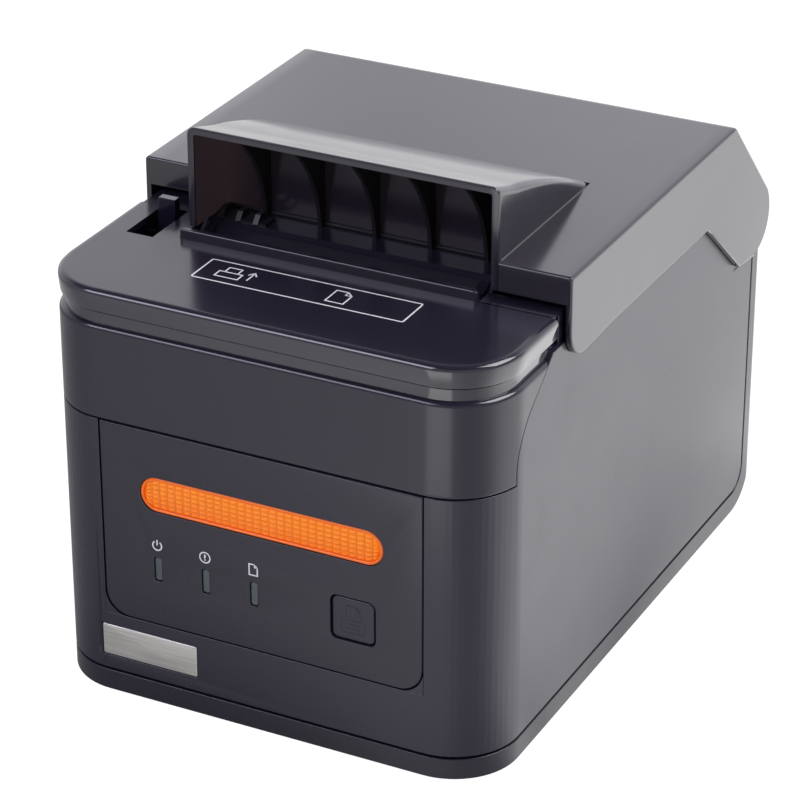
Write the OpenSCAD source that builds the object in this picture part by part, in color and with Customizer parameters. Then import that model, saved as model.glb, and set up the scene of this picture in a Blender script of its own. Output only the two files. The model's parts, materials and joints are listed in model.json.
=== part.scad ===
// Receipt printer, desktop, thermal, for an 80 mm paper roll.
// Millimetres, +Z up, front of the case towards -Y, origin on the table
// under the middle of the printer.  Inside the modules y is counted from
// the front face of the case; from_front() moves it to the origin.

/* [Case] */
// Width of the case
body_w = 141; // [136:1:172]
// Depth of the case, front face to rear face
body_d = 194.3; // [186:0.1:236]
// Height of the flat deck in front of the paper exit
deck_z = 129; // [126:1:156]
// Wall of every moulded shell
wall = 2.2; // [1.8:0.1:2.8]
// Corner radius of the case in plan, at the front
front_r = 20; // [14:1:26]
// Corner radius of the case in plan, at the rear
rear_r = 3; // [2.5:0.5:8]
// Radius of the rounded lower rear edge
heel_r = 15; // [10:1:20]
// Height of the case's underside above the table
foot_h = 1.5; // [1:0.1:3]
// Height of the base tray's rim
rim_z = 8; // [7:0.5:12]
// Width of the groove between tray and housing
groove = 0.8; // [0.4:0.1:1.2]
// Gap between parts that are taken apart or slide
gap = 0.3; // [0.2:0.05:0.5]

/* [Control panel] */
// Width of the control panel
panel_w = 101; // [90:1:120]
// Height of the panel's lower edge
panel_z = 27.6; // [22:0.1:32]
// Panel's top edge, below the deck
panel_drop = 39.5; // [34:0.5:42]
// Lower corner radius of the panel
panel_r = 7.5; // [3:0.5:12]
// Thickness of the panel
panel_t = 3; // [2:0.5:4]
// Length of the light bar
bar_w = 76; // [50:1:90]
// Height of the light bar
bar_h = 10.6; // [6:0.1:14]
// Light bar's centre, below the panel's top edge
bar_drop = 20; // [16:0.5:24]
// Width of one status window
window_w = 2.4; // [2:0.1:4]
// Height of one status window
window_h = 7.5; // [5:0.5:10]
// Spacing of the status windows
window_pitch = 15.4; // [8:0.1:18]
// Middle status window's place left of the centre
window_x = 17.4; // [16:0.1:24]
// Windows' centre, below the panel's top edge
window_drop = 43.8; // [40:0.1:48]
// Width and height of the feed button
button_size = 13.2; // [9:0.1:16]
// Button's centre, right of the middle
button_x = 29; // [24:1:36]
// Travel of the feed button
button_travel = 1; // [0.5:0.1:1.5]
// Width of the blank badge plate
badge_w = 31; // [15:1:40]
// Height of the badge plate
badge_h = 9.9; // [5:0.1:12]

/* [Front cover] */
// Forward travel of the front cover
cover_travel = 12; // [6:1:16]
// Distance of the deck's rear edge from the front face
deck_d = 41; // [40:1:44]
// Distance of the deck's rear edge beside the lever
lever_deck_d = 58; // [56:1:62]
// Width of the raised lip at the paper exit
lip_w = 93; // [84:1:94]
// Height of the lip over the deck
lip_h = 3; // [1:0.5:4]

/* [Splash cover] */
// How far the splash cover stands past each side of the case
cover_side = 2; // [2:0.25:3]
// Thickness of the splash cover
cover_t = 1.7; // [1.2:0.1:1.7]
// Top of the splash cover above the deck
cover_rise = 10.5; // [10:0.5:14]
// Top of the hood above the deck
hood_rise = 32.5; // [26:0.5:40]
// Front edge of the hood, from the front face
hood_y = 45.2; // [45:0.2:48]
// Left side of the hood
hood_left = -46; // [-48:1:-44]
// Right side of the hood
hood_right = 50.6; // [48:0.2:52]
// Front edge of the splash cover on the lever side
cutback_y = 66.1; // [62:0.1:70]
// Number of ribs inside the hood
hood_ribs = 5; // [1:2:5]
// Spacing of the hood's ribs
rib_pitch = 17.4; // [10:0.2:17.4]
// Radius of the hinge lobe
lobe_r = 12; // [11:0.5:13]
// Distance of the hinge axis from the rear face
hinge_inset = 10.8; // [10:0.1:12]

/* [Paper and platen] */
// Width of the paper roll
paper_w = 80; // [58:1:80]
// Largest diameter of the paper roll
roll_d = 83; // [60:1:83]
// Radius of the platen roller
platen_r = 6.5; // [5:0.1:6.5]
// Distance of the platen's axis from the front face
platen_y = 53; // [52.5:0.1:53.5]
// Platen's axis, below the deck
platen_drop = 14; // [13.5:0.1:14.5]

/* [Gears and cutter] */
// Module of every gear
gear_m = 0.8; // [0.8:0.1:0.8]
// Teeth of the platen gear
platen_teeth = 20; // [20:1:20]
// Teeth of the idler gear
idler_teeth = 25; // [25:1:25]
// Teeth of both motor pinions
pinion_teeth = 10; // [10:1:10]
// Teeth of the cutter gear
cutter_teeth = 18; // [16:1:18]
// Travel of the moving blade
blade_travel = 8; // [6:0.5:8]
// Thickness of both blades
blade_t = 0.6; // [0.4:0.1:0.6]

/* [Release lever] */
// Height of the lever's top over the deck
lever_rise = 5; // [3:0.5:9]
// Width of the lever
lever_w = 5.5; // [4:0.5:6]
// Lever's axis, below the platen's axis
lever_pivot_drop = 33; // [32:1:36]

/* [Rear panel] */
// Width of the power switch opening
rocker_w = 14; // [12:1:18]
// Height of the power switch opening
rocker_h = 20; // [16:1:22]
// Tilt of the power switch either way
rocker_tilt = 8; // [5:1:10]
// Height of the main board above the table
board_z = 9; // [8:0.5:10]

/* [Hidden] */
$fn = 64;

far = 400;                       // reach of a cut that goes right through
fit = 0.05;                      // running clearance of a shaft in its bore
slip = 0.1;                      // running clearance of a flat slide
skin = 0.05;                     // lift that keeps two nodes' faces apart

hinge_y = body_d - hinge_inset;
overall_d = hinge_y + lobe_r;
hinge_z = deck_z - 27.4;
hinge_pin_r = 2.95;
hinge_bore_r = hinge_pin_r + fit;
shelf_z = hinge_z - lobe_r - 2 * gap;
roof_z = deck_z - 9;             // top of the main housing, under the splash cover
skirt_z = deck_z - 15;           // lower edge of the splash cover
bulkhead_y = hinge_y - 12;
seam_y = body_d - 7;             // upright groove near the rear
seam_r = heel_r - 7;
panel_top = deck_z - panel_drop;
side_x = body_w / 2;
inside_x = side_x - wall;
rear_lean = 1.3;
tray_floor = foot_h + wall;

// Edge between the front cover and the housing, seen from the side
seam_arc = [37, panel_top + 3.5];
seam_arc_r = 20.3;
seam_slope = 38;
shoulder_z = deck_z - 6.8;       // crease under the front cover's top plate
shoulder_in = 0.9;

bar_z = panel_top - bar_drop;
window_z = panel_top - window_drop;
button_z = panel_top - window_drop - 0.2;
button_clear = 0.4;
badge_z = (rim_z + panel_z) / 2 + 0.5;
badge_x = -52.1;

cover_x = side_x + cover_side;
cover_top = deck_z + cover_rise;
hood_top = deck_z + hood_rise;
cover_low = deck_z + 2.1;        // lower edge of the cover's front faces
skirt_front = 46;
skirt_corner_r = 9.8;
slope_top = [hinge_y - 18.5, cover_top - 1];
slope_angle = 46.3;
hood_r = 196.3;
hood_c = [13.4, hood_top - 195.1];
hood_wall = 2.2;
hood_back_y = 65;
rib_r = 41.4;
rib_c = [22, deck_z - 7];
rib_t = 1.2;

platen_z = deck_z - platen_drop;
roller_w = paper_w;
shaft_r = 2.5;
bearing_r = 4.5;
arm_x = [41.5, 44.5];            // lid arms that carry the platen
hook_x = [44.8, 46.8];
gear_x = [47.5, 51.5];
frame_x = [52.5, 54];            // outer plates of the mechanism
inner_x = [40.1, 41.6];          // inner plates, beside the print head
mech_z = platen_z - 42;          // underside of the mechanism's base plate
mech_y = [20, 66];
sheet = 1.5;
lid_z = deck_z + 1.3;
lid_x = 50.5;
lid_low = roof_z + 2;
lid_t = 2;
knuckle_x = [53.5, 57.7];
ear_x = [58.2, 63];
boss_x = 64.3;

lever_y = platen_y + 1;
lever_z = platen_z - lever_pivot_drop;
lever_top = deck_z + lever_rise;
latch_r = 3;
lever_x = [-60.6, -60.6 + lever_w];
lever_slot = [lever_x[0] - 1.7, lever_x[1] + 1.5];
slot_front = 37.7;

// Gear train of the platen, in the plane of the case's side
mesh_up = atan2(hinge_y - platen_y, platen_z - hinge_z);
pitch_r = gear_m / 2;
idler_reach = (platen_teeth + idler_teeth) * pitch_r;
idler_c = [platen_y - idler_reach * cos(mesh_up), platen_z - idler_reach * sin(mesh_up)];
feed_dir = 190;
feed_reach = (idler_teeth + pinion_teeth) * pitch_r;
feed_c = idler_c + feed_reach * [cos(feed_dir), sin(feed_dir)];
idler_phase = mesh_up;
platen_phase = mesh_phase(idler_phase, idler_teeth, platen_teeth, mesh_up);
feed_phase = mesh_phase(idler_phase, idler_teeth, pinion_teeth, feed_dir);
idler_pin_r = 2;
motor_shaft_r = 1;

// Cutter: the blades meet just over the platen
blade_z = platen_z + platen_r + 0.7;
fixed_z = blade_z + blade_t + slip;
rack_z = blade_z - 1.84;
cutter_gear_r = cutter_teeth * pitch_r;
cutter_c = [28, rack_z - cutter_gear_r];
cutter_dir = 225;
cutter_reach = (cutter_teeth + pinion_teeth) * pitch_r;
cut_motor_c = cutter_c + cutter_reach * [cos(cutter_dir), sin(cutter_dir)];
cutter_phase = 90;
cut_motor_phase = mesh_phase(cutter_phase, cutter_teeth, pinion_teeth, cutter_dir);
cutter_gear_x = [-33.2, -30.3];
blade_rest_y = 42;
blade_x = 40.5;
wing_x = 46.5;
rail_x = [43.5, 49];

head_y = platen_y - platen_r - 0.2;
head_z = [platen_z - 10, platen_z + 5.5];
head_x = 39.6;
pivot_c = [head_y - 2.9, platen_z - 8];
wall_y = 36.6;

bucket_r = roll_d / 2 + 2;
bucket_y = hinge_y - 68.5;
bucket_t = 1.8;
bucket_x = paper_w / 2 + 1.5;
bucket_z = 20 + bucket_r;
board_t = 1.6;
port_z = board_z + board_t + skin;
rear_t = 3.3;
board_post_y = body_d - heel_r - 2;
board_end = body_d - heel_r + 3;
rear_in = body_d - rear_t - rear_lean;
inlet_x = -52;
usb_x = -27;
lan_x = -6;
drawer_x = 15;
rocker_x = 48;
rocker_z = 52;
foot_r = 6;
foot_x = side_x - 24;
feet_y = [22, body_d - 24];
post_x = side_x - 9;
posts_y = [26, body_d - 22];
post_r = 4;
post_split = 14;

shell_dark = [0.24, 0.24, 0.25];
shell_mid = [0.28, 0.28, 0.29];
smoke = [0.45, 0.45, 0.47];
black = [0.1, 0.1, 0.11];
silver = [0.75, 0.75, 0.76];
steel = [0.62, 0.63, 0.65];
amber = [1, 0.45, 0.12];
nylon = [0.88, 0.87, 0.82];
green = [0.1, 0.36, 0.2];

// ---------------------------------------------------------------- helpers

module from_front() translate([0, -overall_d / 2, 0]) children();

module both_sides() {
    children();
    mirror([1, 0, 0]) children();
}

module block(x, y, z)
    translate([x[0], y[0], z[0]]) cube([x[1] - x[0], y[1] - y[0], z[1] - z[0]]);

module rod_x(x, c, r)
    translate([x[0], c[0], c[1]]) rotate([0, 90, 0]) cylinder(h = x[1] - x[0], r = r);

module rod_y(x, y, z, r)
    translate([x, y[0], z]) rotate([-90, 0, 0]) cylinder(h = y[1] - y[0], r = r);

module rod_z(x, y, z, r)
    translate([x, y, z[0]]) cylinder(h = z[1] - z[0], r = r);

// A shape drawn in the side view (y, z), given a width along X
module side_prism(x)
    translate([x[0], 0, 0]) rotate([90, 0, 90]) linear_extrude(x[1] - x[0]) children();

// A shape drawn in the front view (x, z), given a depth along Y
module front_prism(y)
    translate([0, y[1], 0]) rotate([90, 0, 0]) linear_extrude(y[1] - y[0]) children();

module level(z) translate([0, 0, z[0]]) linear_extrude(z[1] - z[0]) children();

module ring_x(x, c, outer, bore) difference() {
    rod_x(x, c, outer);
    rod_x([x[0] - 1, x[1] + 1], c, bore);
}

module rounded(w, h, r) {
    square([w, h - 2 * r], center = true);
    square([w - 2 * r, h], center = true);
    for (x = [-1, 1], y = [-1, 1]) translate([x * (w / 2 - r), y * (h / 2 - r)]) circle(r);
}

module capsule(w, h) rounded(w, h, h / 2 - 0.001);

module tube_z(x, y, z, outer, bore) difference() {
    rod_z(x, y, z, outer);
    rod_z(x, y, [z[0] - 1, z[1] + 1], bore);
}

// Tooth direction of gear b that meshes with gear a, which lies at angle dir - 180 from it
function mesh_phase(phase_a, n_a, n_b, dir) =
    dir + 180 + 180 / n_b - (phase_a - dir) * n_a / n_b;

// Involute flank: half of the tooth's angle at radius r
pressure = 25;
function roll_angle(r, base) = r <= base ? 0 :
    sqrt(r * r / (base * base) - 1) * 180 / PI - acos(base / r);
function half_tooth(r, n) =
    let (pitch = n * pitch_r, base = pitch * cos(pressure), backlash = 0.06)
    90 / n - backlash / pitch * 180 / PI + roll_angle(pitch, base) - roll_angle(r, base);
function spoke(r, a) = [r * cos(a), r * sin(a)];

// Spur gear outline with its first tooth at angle phase
module gear_outline(n, phase) {
    pitch = n * pitch_r;
    base = pitch * cos(pressure);
    tip = pitch + 0.8 * gear_m;
    root = pitch - 1.05 * gear_m;
    low = max(base, root);
    steps = 4;
    polygon([for (i = [0 : n - 1]) let (a = phase + i * 360 / n)
        each concat(
            [spoke(root, a - half_tooth(low, n))],
            [for (k = [0 : steps]) let (r = low + (tip - low) * k / steps)
                spoke(r, a - half_tooth(r, n))],
            [for (k = [steps : -1 : 0]) let (r = low + (tip - low) * k / steps)
                spoke(r, a + half_tooth(r, n))],
            [spoke(root, a + half_tooth(low, n))])]);
}

module gear(x, c, n, phase, bore) difference() {
    side_prism(x) translate(c) gear_outline(n, phase);
    rod_x([x[0] - 1, x[1] + 1], c, bore);
}

// ------------------------------------------------------- outlines of the case

// Plan of the case, drawn inset millimetres inside its outer face
module plan(inset) {
    w = side_x - inset;
    rf = front_r - inset;
    rr = max(rear_r - inset, 0.5);
    back = body_d - inset;
    translate([-w, inset + rf]) square([2 * w, back - inset - rf - rr]);
    translate([rf - w, inset]) square([2 * (w - rf), rf + 1]);
    translate([rr - w, back - rr - 1]) square([2 * (w - rr), rr + 1]);
    for (s = [-1, 1]) {
        translate([s * (w - rf), inset + rf]) circle(rf);
        translate([s * (w - rr), back - rr]) circle(rr);
    }
}

// Side view of the case with its rounded heel, up to the height top
module case_side(inset, top) {
    r = heel_r - inset;
    back = body_d - inset;
    low = foot_h + inset;
    translate([back - r, low + r]) circle(r);
    polygon([[-1, low], [back - r, low], [back, low + r], [back - rear_lean, shelf_z],
        [back - rear_lean, top], [-1, top]]);
}

module case_block(inset, top) intersection() {
    level([0, top]) plan(inset);
    side_prism([-far, far]) case_side(inset, top);
}

// Everything above and in front of the groove between tray and housing
module seam_side(shrink) {
    r = seam_r - shrink;
    back = seam_y - shrink;
    low = rim_z + shrink;
    translate([back - r, low + r]) circle(r);
    polygon([[-1, low], [back - r, low], [back, low + r], [back, far], [-1, far]]);
}

// What the front cover takes away from the housing, grown by grow
module cover_side_view(back, grow) {
    tangent = seam_arc + seam_arc_r * [-sin(seam_slope), cos(seam_slope)];
    meet = [tangent[0] + (roof_z - tangent[1]) / tan(seam_slope), roof_z];
    difference() {
        translate([-1, panel_top - grow])
            square([back + grow + 1, deck_z + far / 4 - panel_top]);
        translate(seam_arc) circle(seam_arc_r - grow);
        polygon([[seam_arc[0] - seam_arc_r + grow, 0],
            [seam_arc[0] - seam_arc_r + grow, seam_arc[1]],
            seam_arc,
            tangent + grow * [sin(seam_slope), -cos(seam_slope)],
            meet + grow * [sin(seam_slope), -cos(seam_slope)],
            [meet[0] + 40, meet[1] - grow], [meet[0] + 40, 0]]);
    }
}

// --------------------------------------------------------------- the case

module base_tray() color(shell_dark) from_front() difference() {
    union() {
        difference() {
            case_block(0, shelf_z);
            side_prism([-far, far]) seam_side(0);
            intersection() {
                level([tray_floor, far]) plan(wall);
                side_prism([-far, far]) polygon([[-1, tray_floor], [body_d - heel_r, tray_floor],
                    [rear_in, 14], [rear_in, far], [-1, far]]);
            }
        }
        for (x = [-1, 1], y = posts_y)
            rod_z(x * post_x, y, [tray_floor - skin, post_split], post_r);
        for (x = [-40, 40], y = [bucket_y - 42, board_post_y])
            rod_z(x, y, [tray_floor - skin, board_z], 3);
        for (x = [-48, 48], y = [32, 58])
            rod_z(x, y, [tray_floor - skin, mech_z - 0.02], post_r);
    }
    for (x = [-1, 1], y = posts_y) {
        rod_z(x * post_x, y, [0, post_split + 1], 1.7);
        rod_z(x * post_x, y, [0, foot_h + 1.2], 3.4);
    }
    for (x = [-1, 1], y = feet_y) rod_z(x * foot_x, y, [0, foot_h + 0.7], foot_r + 0.1);
    for (x = [-48, 48], y = [32, 58]) rod_z(x, y, [mech_z - 12, mech_z + 1], 1.6);
    rear_cuts();
    for (i = [-4 : 4]) block([i * 7 - 1.5, i * 7 + 1.5], [84, 104], [0, tray_floor + 1]);
}

// Openings for the sockets and the switch in the rear wall
module rear_cuts() {
    start = body_d - heel_r - 1;
    rod_y(inlet_x, [start, body_d + 1], port_z + 8, 8.2);
    block([inlet_x - 7.4, inlet_x + 7.4], [start, rear_in], [port_z - gap, port_z + 8]);
    front_prism([start, body_d + 1]) {
        translate([usb_x, port_z + 5.6]) square([12.6, 11.6], center = true);
        translate([lan_x, port_z + 6.8]) square([16.4, 14], center = true);
        translate([drawer_x, port_z + 6.8]) square([16.4, 14], center = true);
        translate([rocker_x, rocker_z]) square([rocker_w + 4.4, rocker_h + 4.4], center = true);
    }
}

module housing_profile() {
    polygon([[-1, 0], [far, 0], [far, shelf_z], [bulkhead_y, shelf_z],
        [bulkhead_y, roof_z], [-1, roof_z]]);
}

module housing_hollow() {
    back = bulkhead_y - wall;
    polygon([[wall, -1], [far, -1], [far, shelf_z - wall], [back, shelf_z - wall],
        [back, roof_z - wall], [wall, roof_z - wall]]);
}

module main_housing() color(shell_mid) from_front() difference() {
    union() {
        difference() {
            intersection() {
                case_block(0, far);
                side_prism([-far, far]) intersection() {
                    seam_side(groove);
                    housing_profile();
                }
            }
            intersection() {
                level([0, far]) plan(wall);
                side_prism([-far, far]) housing_hollow();
            }
        }
        for (x = [-1, 1], y = posts_y) {
            rod_z(x * post_x, y, [post_split + 0.02, post_split + 24], post_r);
            block([min(x * post_x, x * (inside_x + 1)), max(x * post_x, x * (inside_x + 1))],
                [y - 1, y + 1], [post_split + 0.02, post_split + 24]);
        }
        hinge_barrel();
        both_sides() hinge_ear(ear_x);
        block([lid_x + 2.5, side_x - shoulder_in - 0.2], [deck_d + 2.5, 62], [roof_z - 1, deck_z - 0.5]);
        block([0.2 + shoulder_in - side_x, -lid_x - 2.5], [lever_deck_d + 1, 75],
            [roof_z - 1, deck_z - 0.5]);
        both_sides() block([54.2, inside_x + 1], [62, 64], [mech_z, roof_z - 1]);
    }
    front_prism([-1, 7]) {
        translate([0, panel_z - gap / 2 + far / 2]) square([panel_w + gap, far], center = true);
    }
    side_prism([-far, far]) cover_side_view(deck_d, 0.02);
    side_prism([-far, -46.5]) polygon([[20, roof_z + skin], [lever_deck_d + gap, roof_z + skin],
        [lever_deck_d + gap, far], [20, far]]);
    block([-frame_x[1] - 9.5, frame_x[1] + 2], [10, mech_y[1] + 1], [roof_z - wall - 1, roof_z + 1]);
    block([-bucket_x - bucket_t - gap, bucket_x + bucket_t + gap],
        [mech_y[1] - 1, bucket_y + bucket_r + bucket_t + gap], [roof_z - wall - 1, roof_z + 1]);
    for (x = [-1, 1], y = posts_y) rod_z(x * post_x, y, [0, post_split + 20], 1.4);
    block([badge_x - 0.15, badge_x + badge_w + 0.15], [-1, 0.8],
        [badge_z - badge_h / 2 - 0.15, badge_z + badge_h / 2 + 0.15]);
    both_sides() rod_x([ear_x[0] - 1, ear_x[1] + 1], [hinge_y, hinge_z], hinge_bore_r);
}

module hinge_ear(x) {
    rod_x(x, [hinge_y, hinge_z], 7);
    block(x, [hinge_y - 6, hinge_y + 6], [shelf_z - 1, hinge_z]);
}

// Hollow barrel that closes the gap between the two hinge ears
module hinge_barrel() {
    x = knuckle_x[0] - 0.3;
    difference() {
        union() {
            rod_x([-x, x], [hinge_y, hinge_z], 9);
            block([-x, x], [hinge_y - 6, hinge_y + 6], [shelf_z - 1, hinge_z]);
        }
        rod_x([wall - x, x - wall], [hinge_y, hinge_z], 9 - wall);
        block([wall - x, x - wall], [hinge_y - 6 + wall, hinge_y + 6 - wall],
            [shelf_z - far / 40, hinge_z]);
    }
}

module control_panel() color(shell_dark) from_front() difference() {
    union() {
        front_prism([0, panel_t]) {
            intersection() {
                translate([0, panel_z + far / 2]) rounded(panel_w - gap, far, panel_r);
                translate([0, panel_top - gap - far / 2]) square([panel_w, far], center = true);
            }
        }
        both_sides() for (z = [panel_z + 11, panel_top - 8])
            difference() {
                rod_y(44, [panel_t - skin, 9], z, 2.5);
                rod_y(44, [panel_t + 1, 10], z, 1);
            }
        block([-panel_w / 2 + 4, panel_w / 2 - 4], [panel_t - skin, panel_t + 2],
            [panel_top - 3, panel_top - 1.5]);
    }
    front_prism([-1, panel_t + 1]) translate([0.3, bar_z]) capsule(bar_w + gap, bar_h + gap);
    front_prism([-1, panel_t + 1]) for (i = [-1 : 1])
        translate([i * window_pitch - window_x, window_z])
            square([window_w + 0.1, window_h + 0.1], center = true);
    front_prism([-1, panel_t + 1]) translate([button_x, button_z])
        rounded(button_size + 2 * button_clear, button_size + 2 * button_clear, 2.2);
}

module light_bar_lens() color(amber) from_front() {
    front_prism([0.2, panel_t + 0.1]) translate([0.3, bar_z]) capsule(bar_w, bar_h);
    front_prism([panel_t + skin, panel_t + 1.2]) translate([0.3, bar_z])
        capsule(bar_w + 4, bar_h + 4);
}

module light_bar_board() color(green) from_front() {
    front_prism([6.2, 7.2]) translate([0.3, bar_z]) square([bar_w, bar_h - 2], center = true);
    for (i = [-4 : 4]) block([i * 8 - 1.3, i * 8 + 1.9], [5.2, 6.21], [bar_z - 1.4, bar_z + 1.4]);
    both_sides() block([30, 34], [7.19, 9 - skin], [bar_z - 2, bar_z + 2]);
}

module status_light_pipes() color(nylon) from_front() {
    for (i = [-1 : 1]) front_prism([0.25, panel_t + 0.5])
        translate([i * window_pitch - window_x, window_z])
            square([window_w, window_h], center = true);
    front_prism([panel_t + skin, panel_t + 2]) translate([-window_x, window_z])
        square([2 * window_pitch + 7, 3.2], center = true);
}

module feed_button() color(shell_mid) from_front() {
    front_prism([0.4, panel_t + 1.2]) translate([button_x, button_z])
        rounded(button_size, button_size, 1.8);
    front_prism([panel_t + gap, panel_t + 1.2]) translate([button_x, button_z])
        rounded(button_size + 4, button_size + 4, 2.4);
    rod_y(button_x, [panel_t + 1, 9 - 2.2 - button_travel], button_z, 1.8);
}

module panel_board() color(green) from_front() {
    difference() {
        block([-47, 47], [9 + skin / 2, 9 + board_t], [panel_z + 7, panel_top - 4]);
        both_sides() for (z = [panel_z + 11, panel_top - 8]) rod_y(44, [8, 12], z, 1.3);
    }
    block([button_x - 3, button_x + 3], [9 - 2, 9 + skin], [button_z - 3, button_z + 3]);
    for (i = [-1 : 1]) block([i * window_pitch - window_x - 1, i * window_pitch - window_x + 1],
        [9 - 2.5, 9 + skin], [window_z - 1, window_z + 1]);
    block([-12, 6], [9 + board_t - skin, 15], [window_z - 4, window_z + 3]);
}

module badge_plate() color(silver) from_front()
    block([badge_x, badge_x + badge_w], [0.12, 0.78], [badge_z - badge_h / 2, badge_z + badge_h / 2]);

module front_cover() color(shell_dark) from_front() difference() {
    union() {
        intersection() {
            union() {
                level([panel_top, shoulder_z]) plan(0);
                level([shoulder_z - skin, deck_z]) plan(shoulder_in);
            }
            union() {
                side_prism([-far, far]) cover_side_view(deck_d + gap, -gap);
                side_prism([-far, -47]) difference() {
                    cover_side_view(lever_deck_d + gap, -gap);
                    translate([deck_d - 1, 0]) square([far, roof_z + gap]);
                }
            }
        }
        exit_lip();
    }
    difference() {
        level([0, deck_z - wall]) plan(wall);
        block([-far, far], [deck_d - 1.5, far], [0, far]);
    }
    block([-inside_x, inside_x], [deck_d - 2, far], [0, deck_z - wall]);
    block(lever_slot, [slot_front, far], [roof_z, far]);
}

// Raised bead along the front of the paper exit, with round ends
module exit_lip() {
    top = deck_z + lip_h;
    block([-lip_w / 2, lip_w / 2], [deck_d - 0.5, deck_d + 1.5], [deck_z - 3, top - 1]);
    rod_x([-lip_w / 2, lip_w / 2], [deck_d + 0.5, top - 1], 1);
}

module splash_side() {
    n = [sin(slope_angle), cos(slope_angle)];
    tangent = [hinge_y, hinge_z] + lobe_r * n;
    low_front = [skirt_front + skirt_corner_r, skirt_z + 0.5 + skirt_corner_r];
    translate([hinge_y, hinge_z]) circle(lobe_r);
    translate(low_front) circle(skirt_corner_r);
    translate([slope_top[0] - 3, cover_top - 4]) circle(4);
    polygon([[skirt_front, cover_top], [skirt_front, low_front[1]], [low_front[0], skirt_z + 0.5],
        [hinge_y - 40, skirt_z], [hinge_y - 35.5, hinge_z + 9.2], [hinge_y - 12, hinge_z - 10.8],
        [hinge_y, hinge_z - lobe_r], [hinge_y, hinge_z], tangent, slope_top,
        [slope_top[0] - 3, cover_top]]);
}

// Rear slope and the upper part of the lobe, as a skin of thickness t
module splash_rear_skin() {
    t = cover_t + 0.3;
    n = [sin(slope_angle), cos(slope_angle)];
    tangent = [hinge_y, hinge_z] + lobe_r * n;
    cut = 30;
    polygon([slope_top, tangent, tangent - t * n, slope_top - t * n - [0, 0]]);
    difference() {
        translate([slope_top[0] - 3, cover_top - 4]) circle(4);
        translate([slope_top[0] - 3, cover_top - 4]) circle(4 - t);
        translate([slope_top[0] - 10, cover_top - 12]) square([7, 20]);
        translate([slope_top[0] - 10, cover_top - 12]) square([20, 7.5]);
    }
    difference() {
        translate([hinge_y, hinge_z]) circle(lobe_r);
        translate([hinge_y, hinge_z]) circle(lobe_r - t);
        translate([hinge_y, hinge_z]) polygon([[0, 0], 30 * [sin(slope_angle), cos(slope_angle)],
            [-30, 30], [-30, -30], [30, -30], 30 * [cos(cut), sin(cut)]]);
    }
}

// Side view of the hood: a long arc with a slightly steeper front
module hood_profile(shrink) {
    top = hood_top - 1.2 * shrink;
    intersection() {
        union() {
            translate(hood_c) circle(hood_r - shrink, $fn = 256);
            polygon([[hood_y - 1, cover_low], [hood_y - 1, top + 0.3], [hood_y + 11, top - 3.5],
                [hood_y + 11, cover_low]]);
        }
        translate([hood_y - (shrink > 0 ? 1 : 0), cover_low]) square([62.2, far]);
    }
}

module hood_solid(shrink)
    side_prism([hood_left + shrink, hood_right - shrink]) hood_profile(shrink);

module splash_cover() color(smoke) from_front() {
    t = cover_t + 0.3;
    side_in = cover_x - cover_t;
    side_prism([side_in, cover_x]) splash_side();
    difference() {
        side_prism([-cover_x, -side_in]) splash_side();
        block([-far, 0], [0, cutback_y], [0, far]);
    }
    both_sides() ring_x([boss_x, side_in + skin], [hinge_y, hinge_z], 8, hinge_bore_r);
    difference() {
        union() {
            block([-side_in - skin, side_in + skin], [cutback_y, slope_top[0] - 3 + skin],
                [cover_top - t, cover_top]);
            block([0, side_in + skin], [hood_y, cutback_y + 1], [cover_top - t, cover_top]);
            block([hood_right - 1, cover_x], [hood_y, hood_y + t], [cover_low, cover_top]);
            block([-cover_x, hood_left + 1], [cutback_y, cutback_y + t], [cover_low, cover_top]);
            side_prism([-side_in - skin, side_in + skin]) splash_rear_skin();
        }
        hood_solid(0.01);
        block([0, hood_right - 1], [0, cutback_y], [cover_top - 9, cover_top + 1]);
    }
    hood();
}

module hood() {
    difference() {
        hood_solid(0);
        hood_solid(hood_wall);
        block([hood_left - 1, hood_right + 1], [hood_back_y + hood_wall, far],
            [0, cover_top - cover_t - 0.3]);
    }
    intersection() {
        hood_solid(0.5);
        union() {
            block([hood_left, hood_right], [hood_back_y, hood_back_y + hood_wall], [cover_low, far]);
            for (i = [0 : hood_ribs - 1]) hood_rib(4 + (i - (hood_ribs - 1) / 2) * rib_pitch);
        }
    }
}

module hood_rib(x) difference() {
    block([x - rib_t / 2, x + rib_t / 2], [hood_y, hood_back_y + 1], [cover_low, far]);
    rod_x([-far, far], rib_c, rib_r);
}

// ----------------------------------------------------- paper lid and platen

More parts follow.
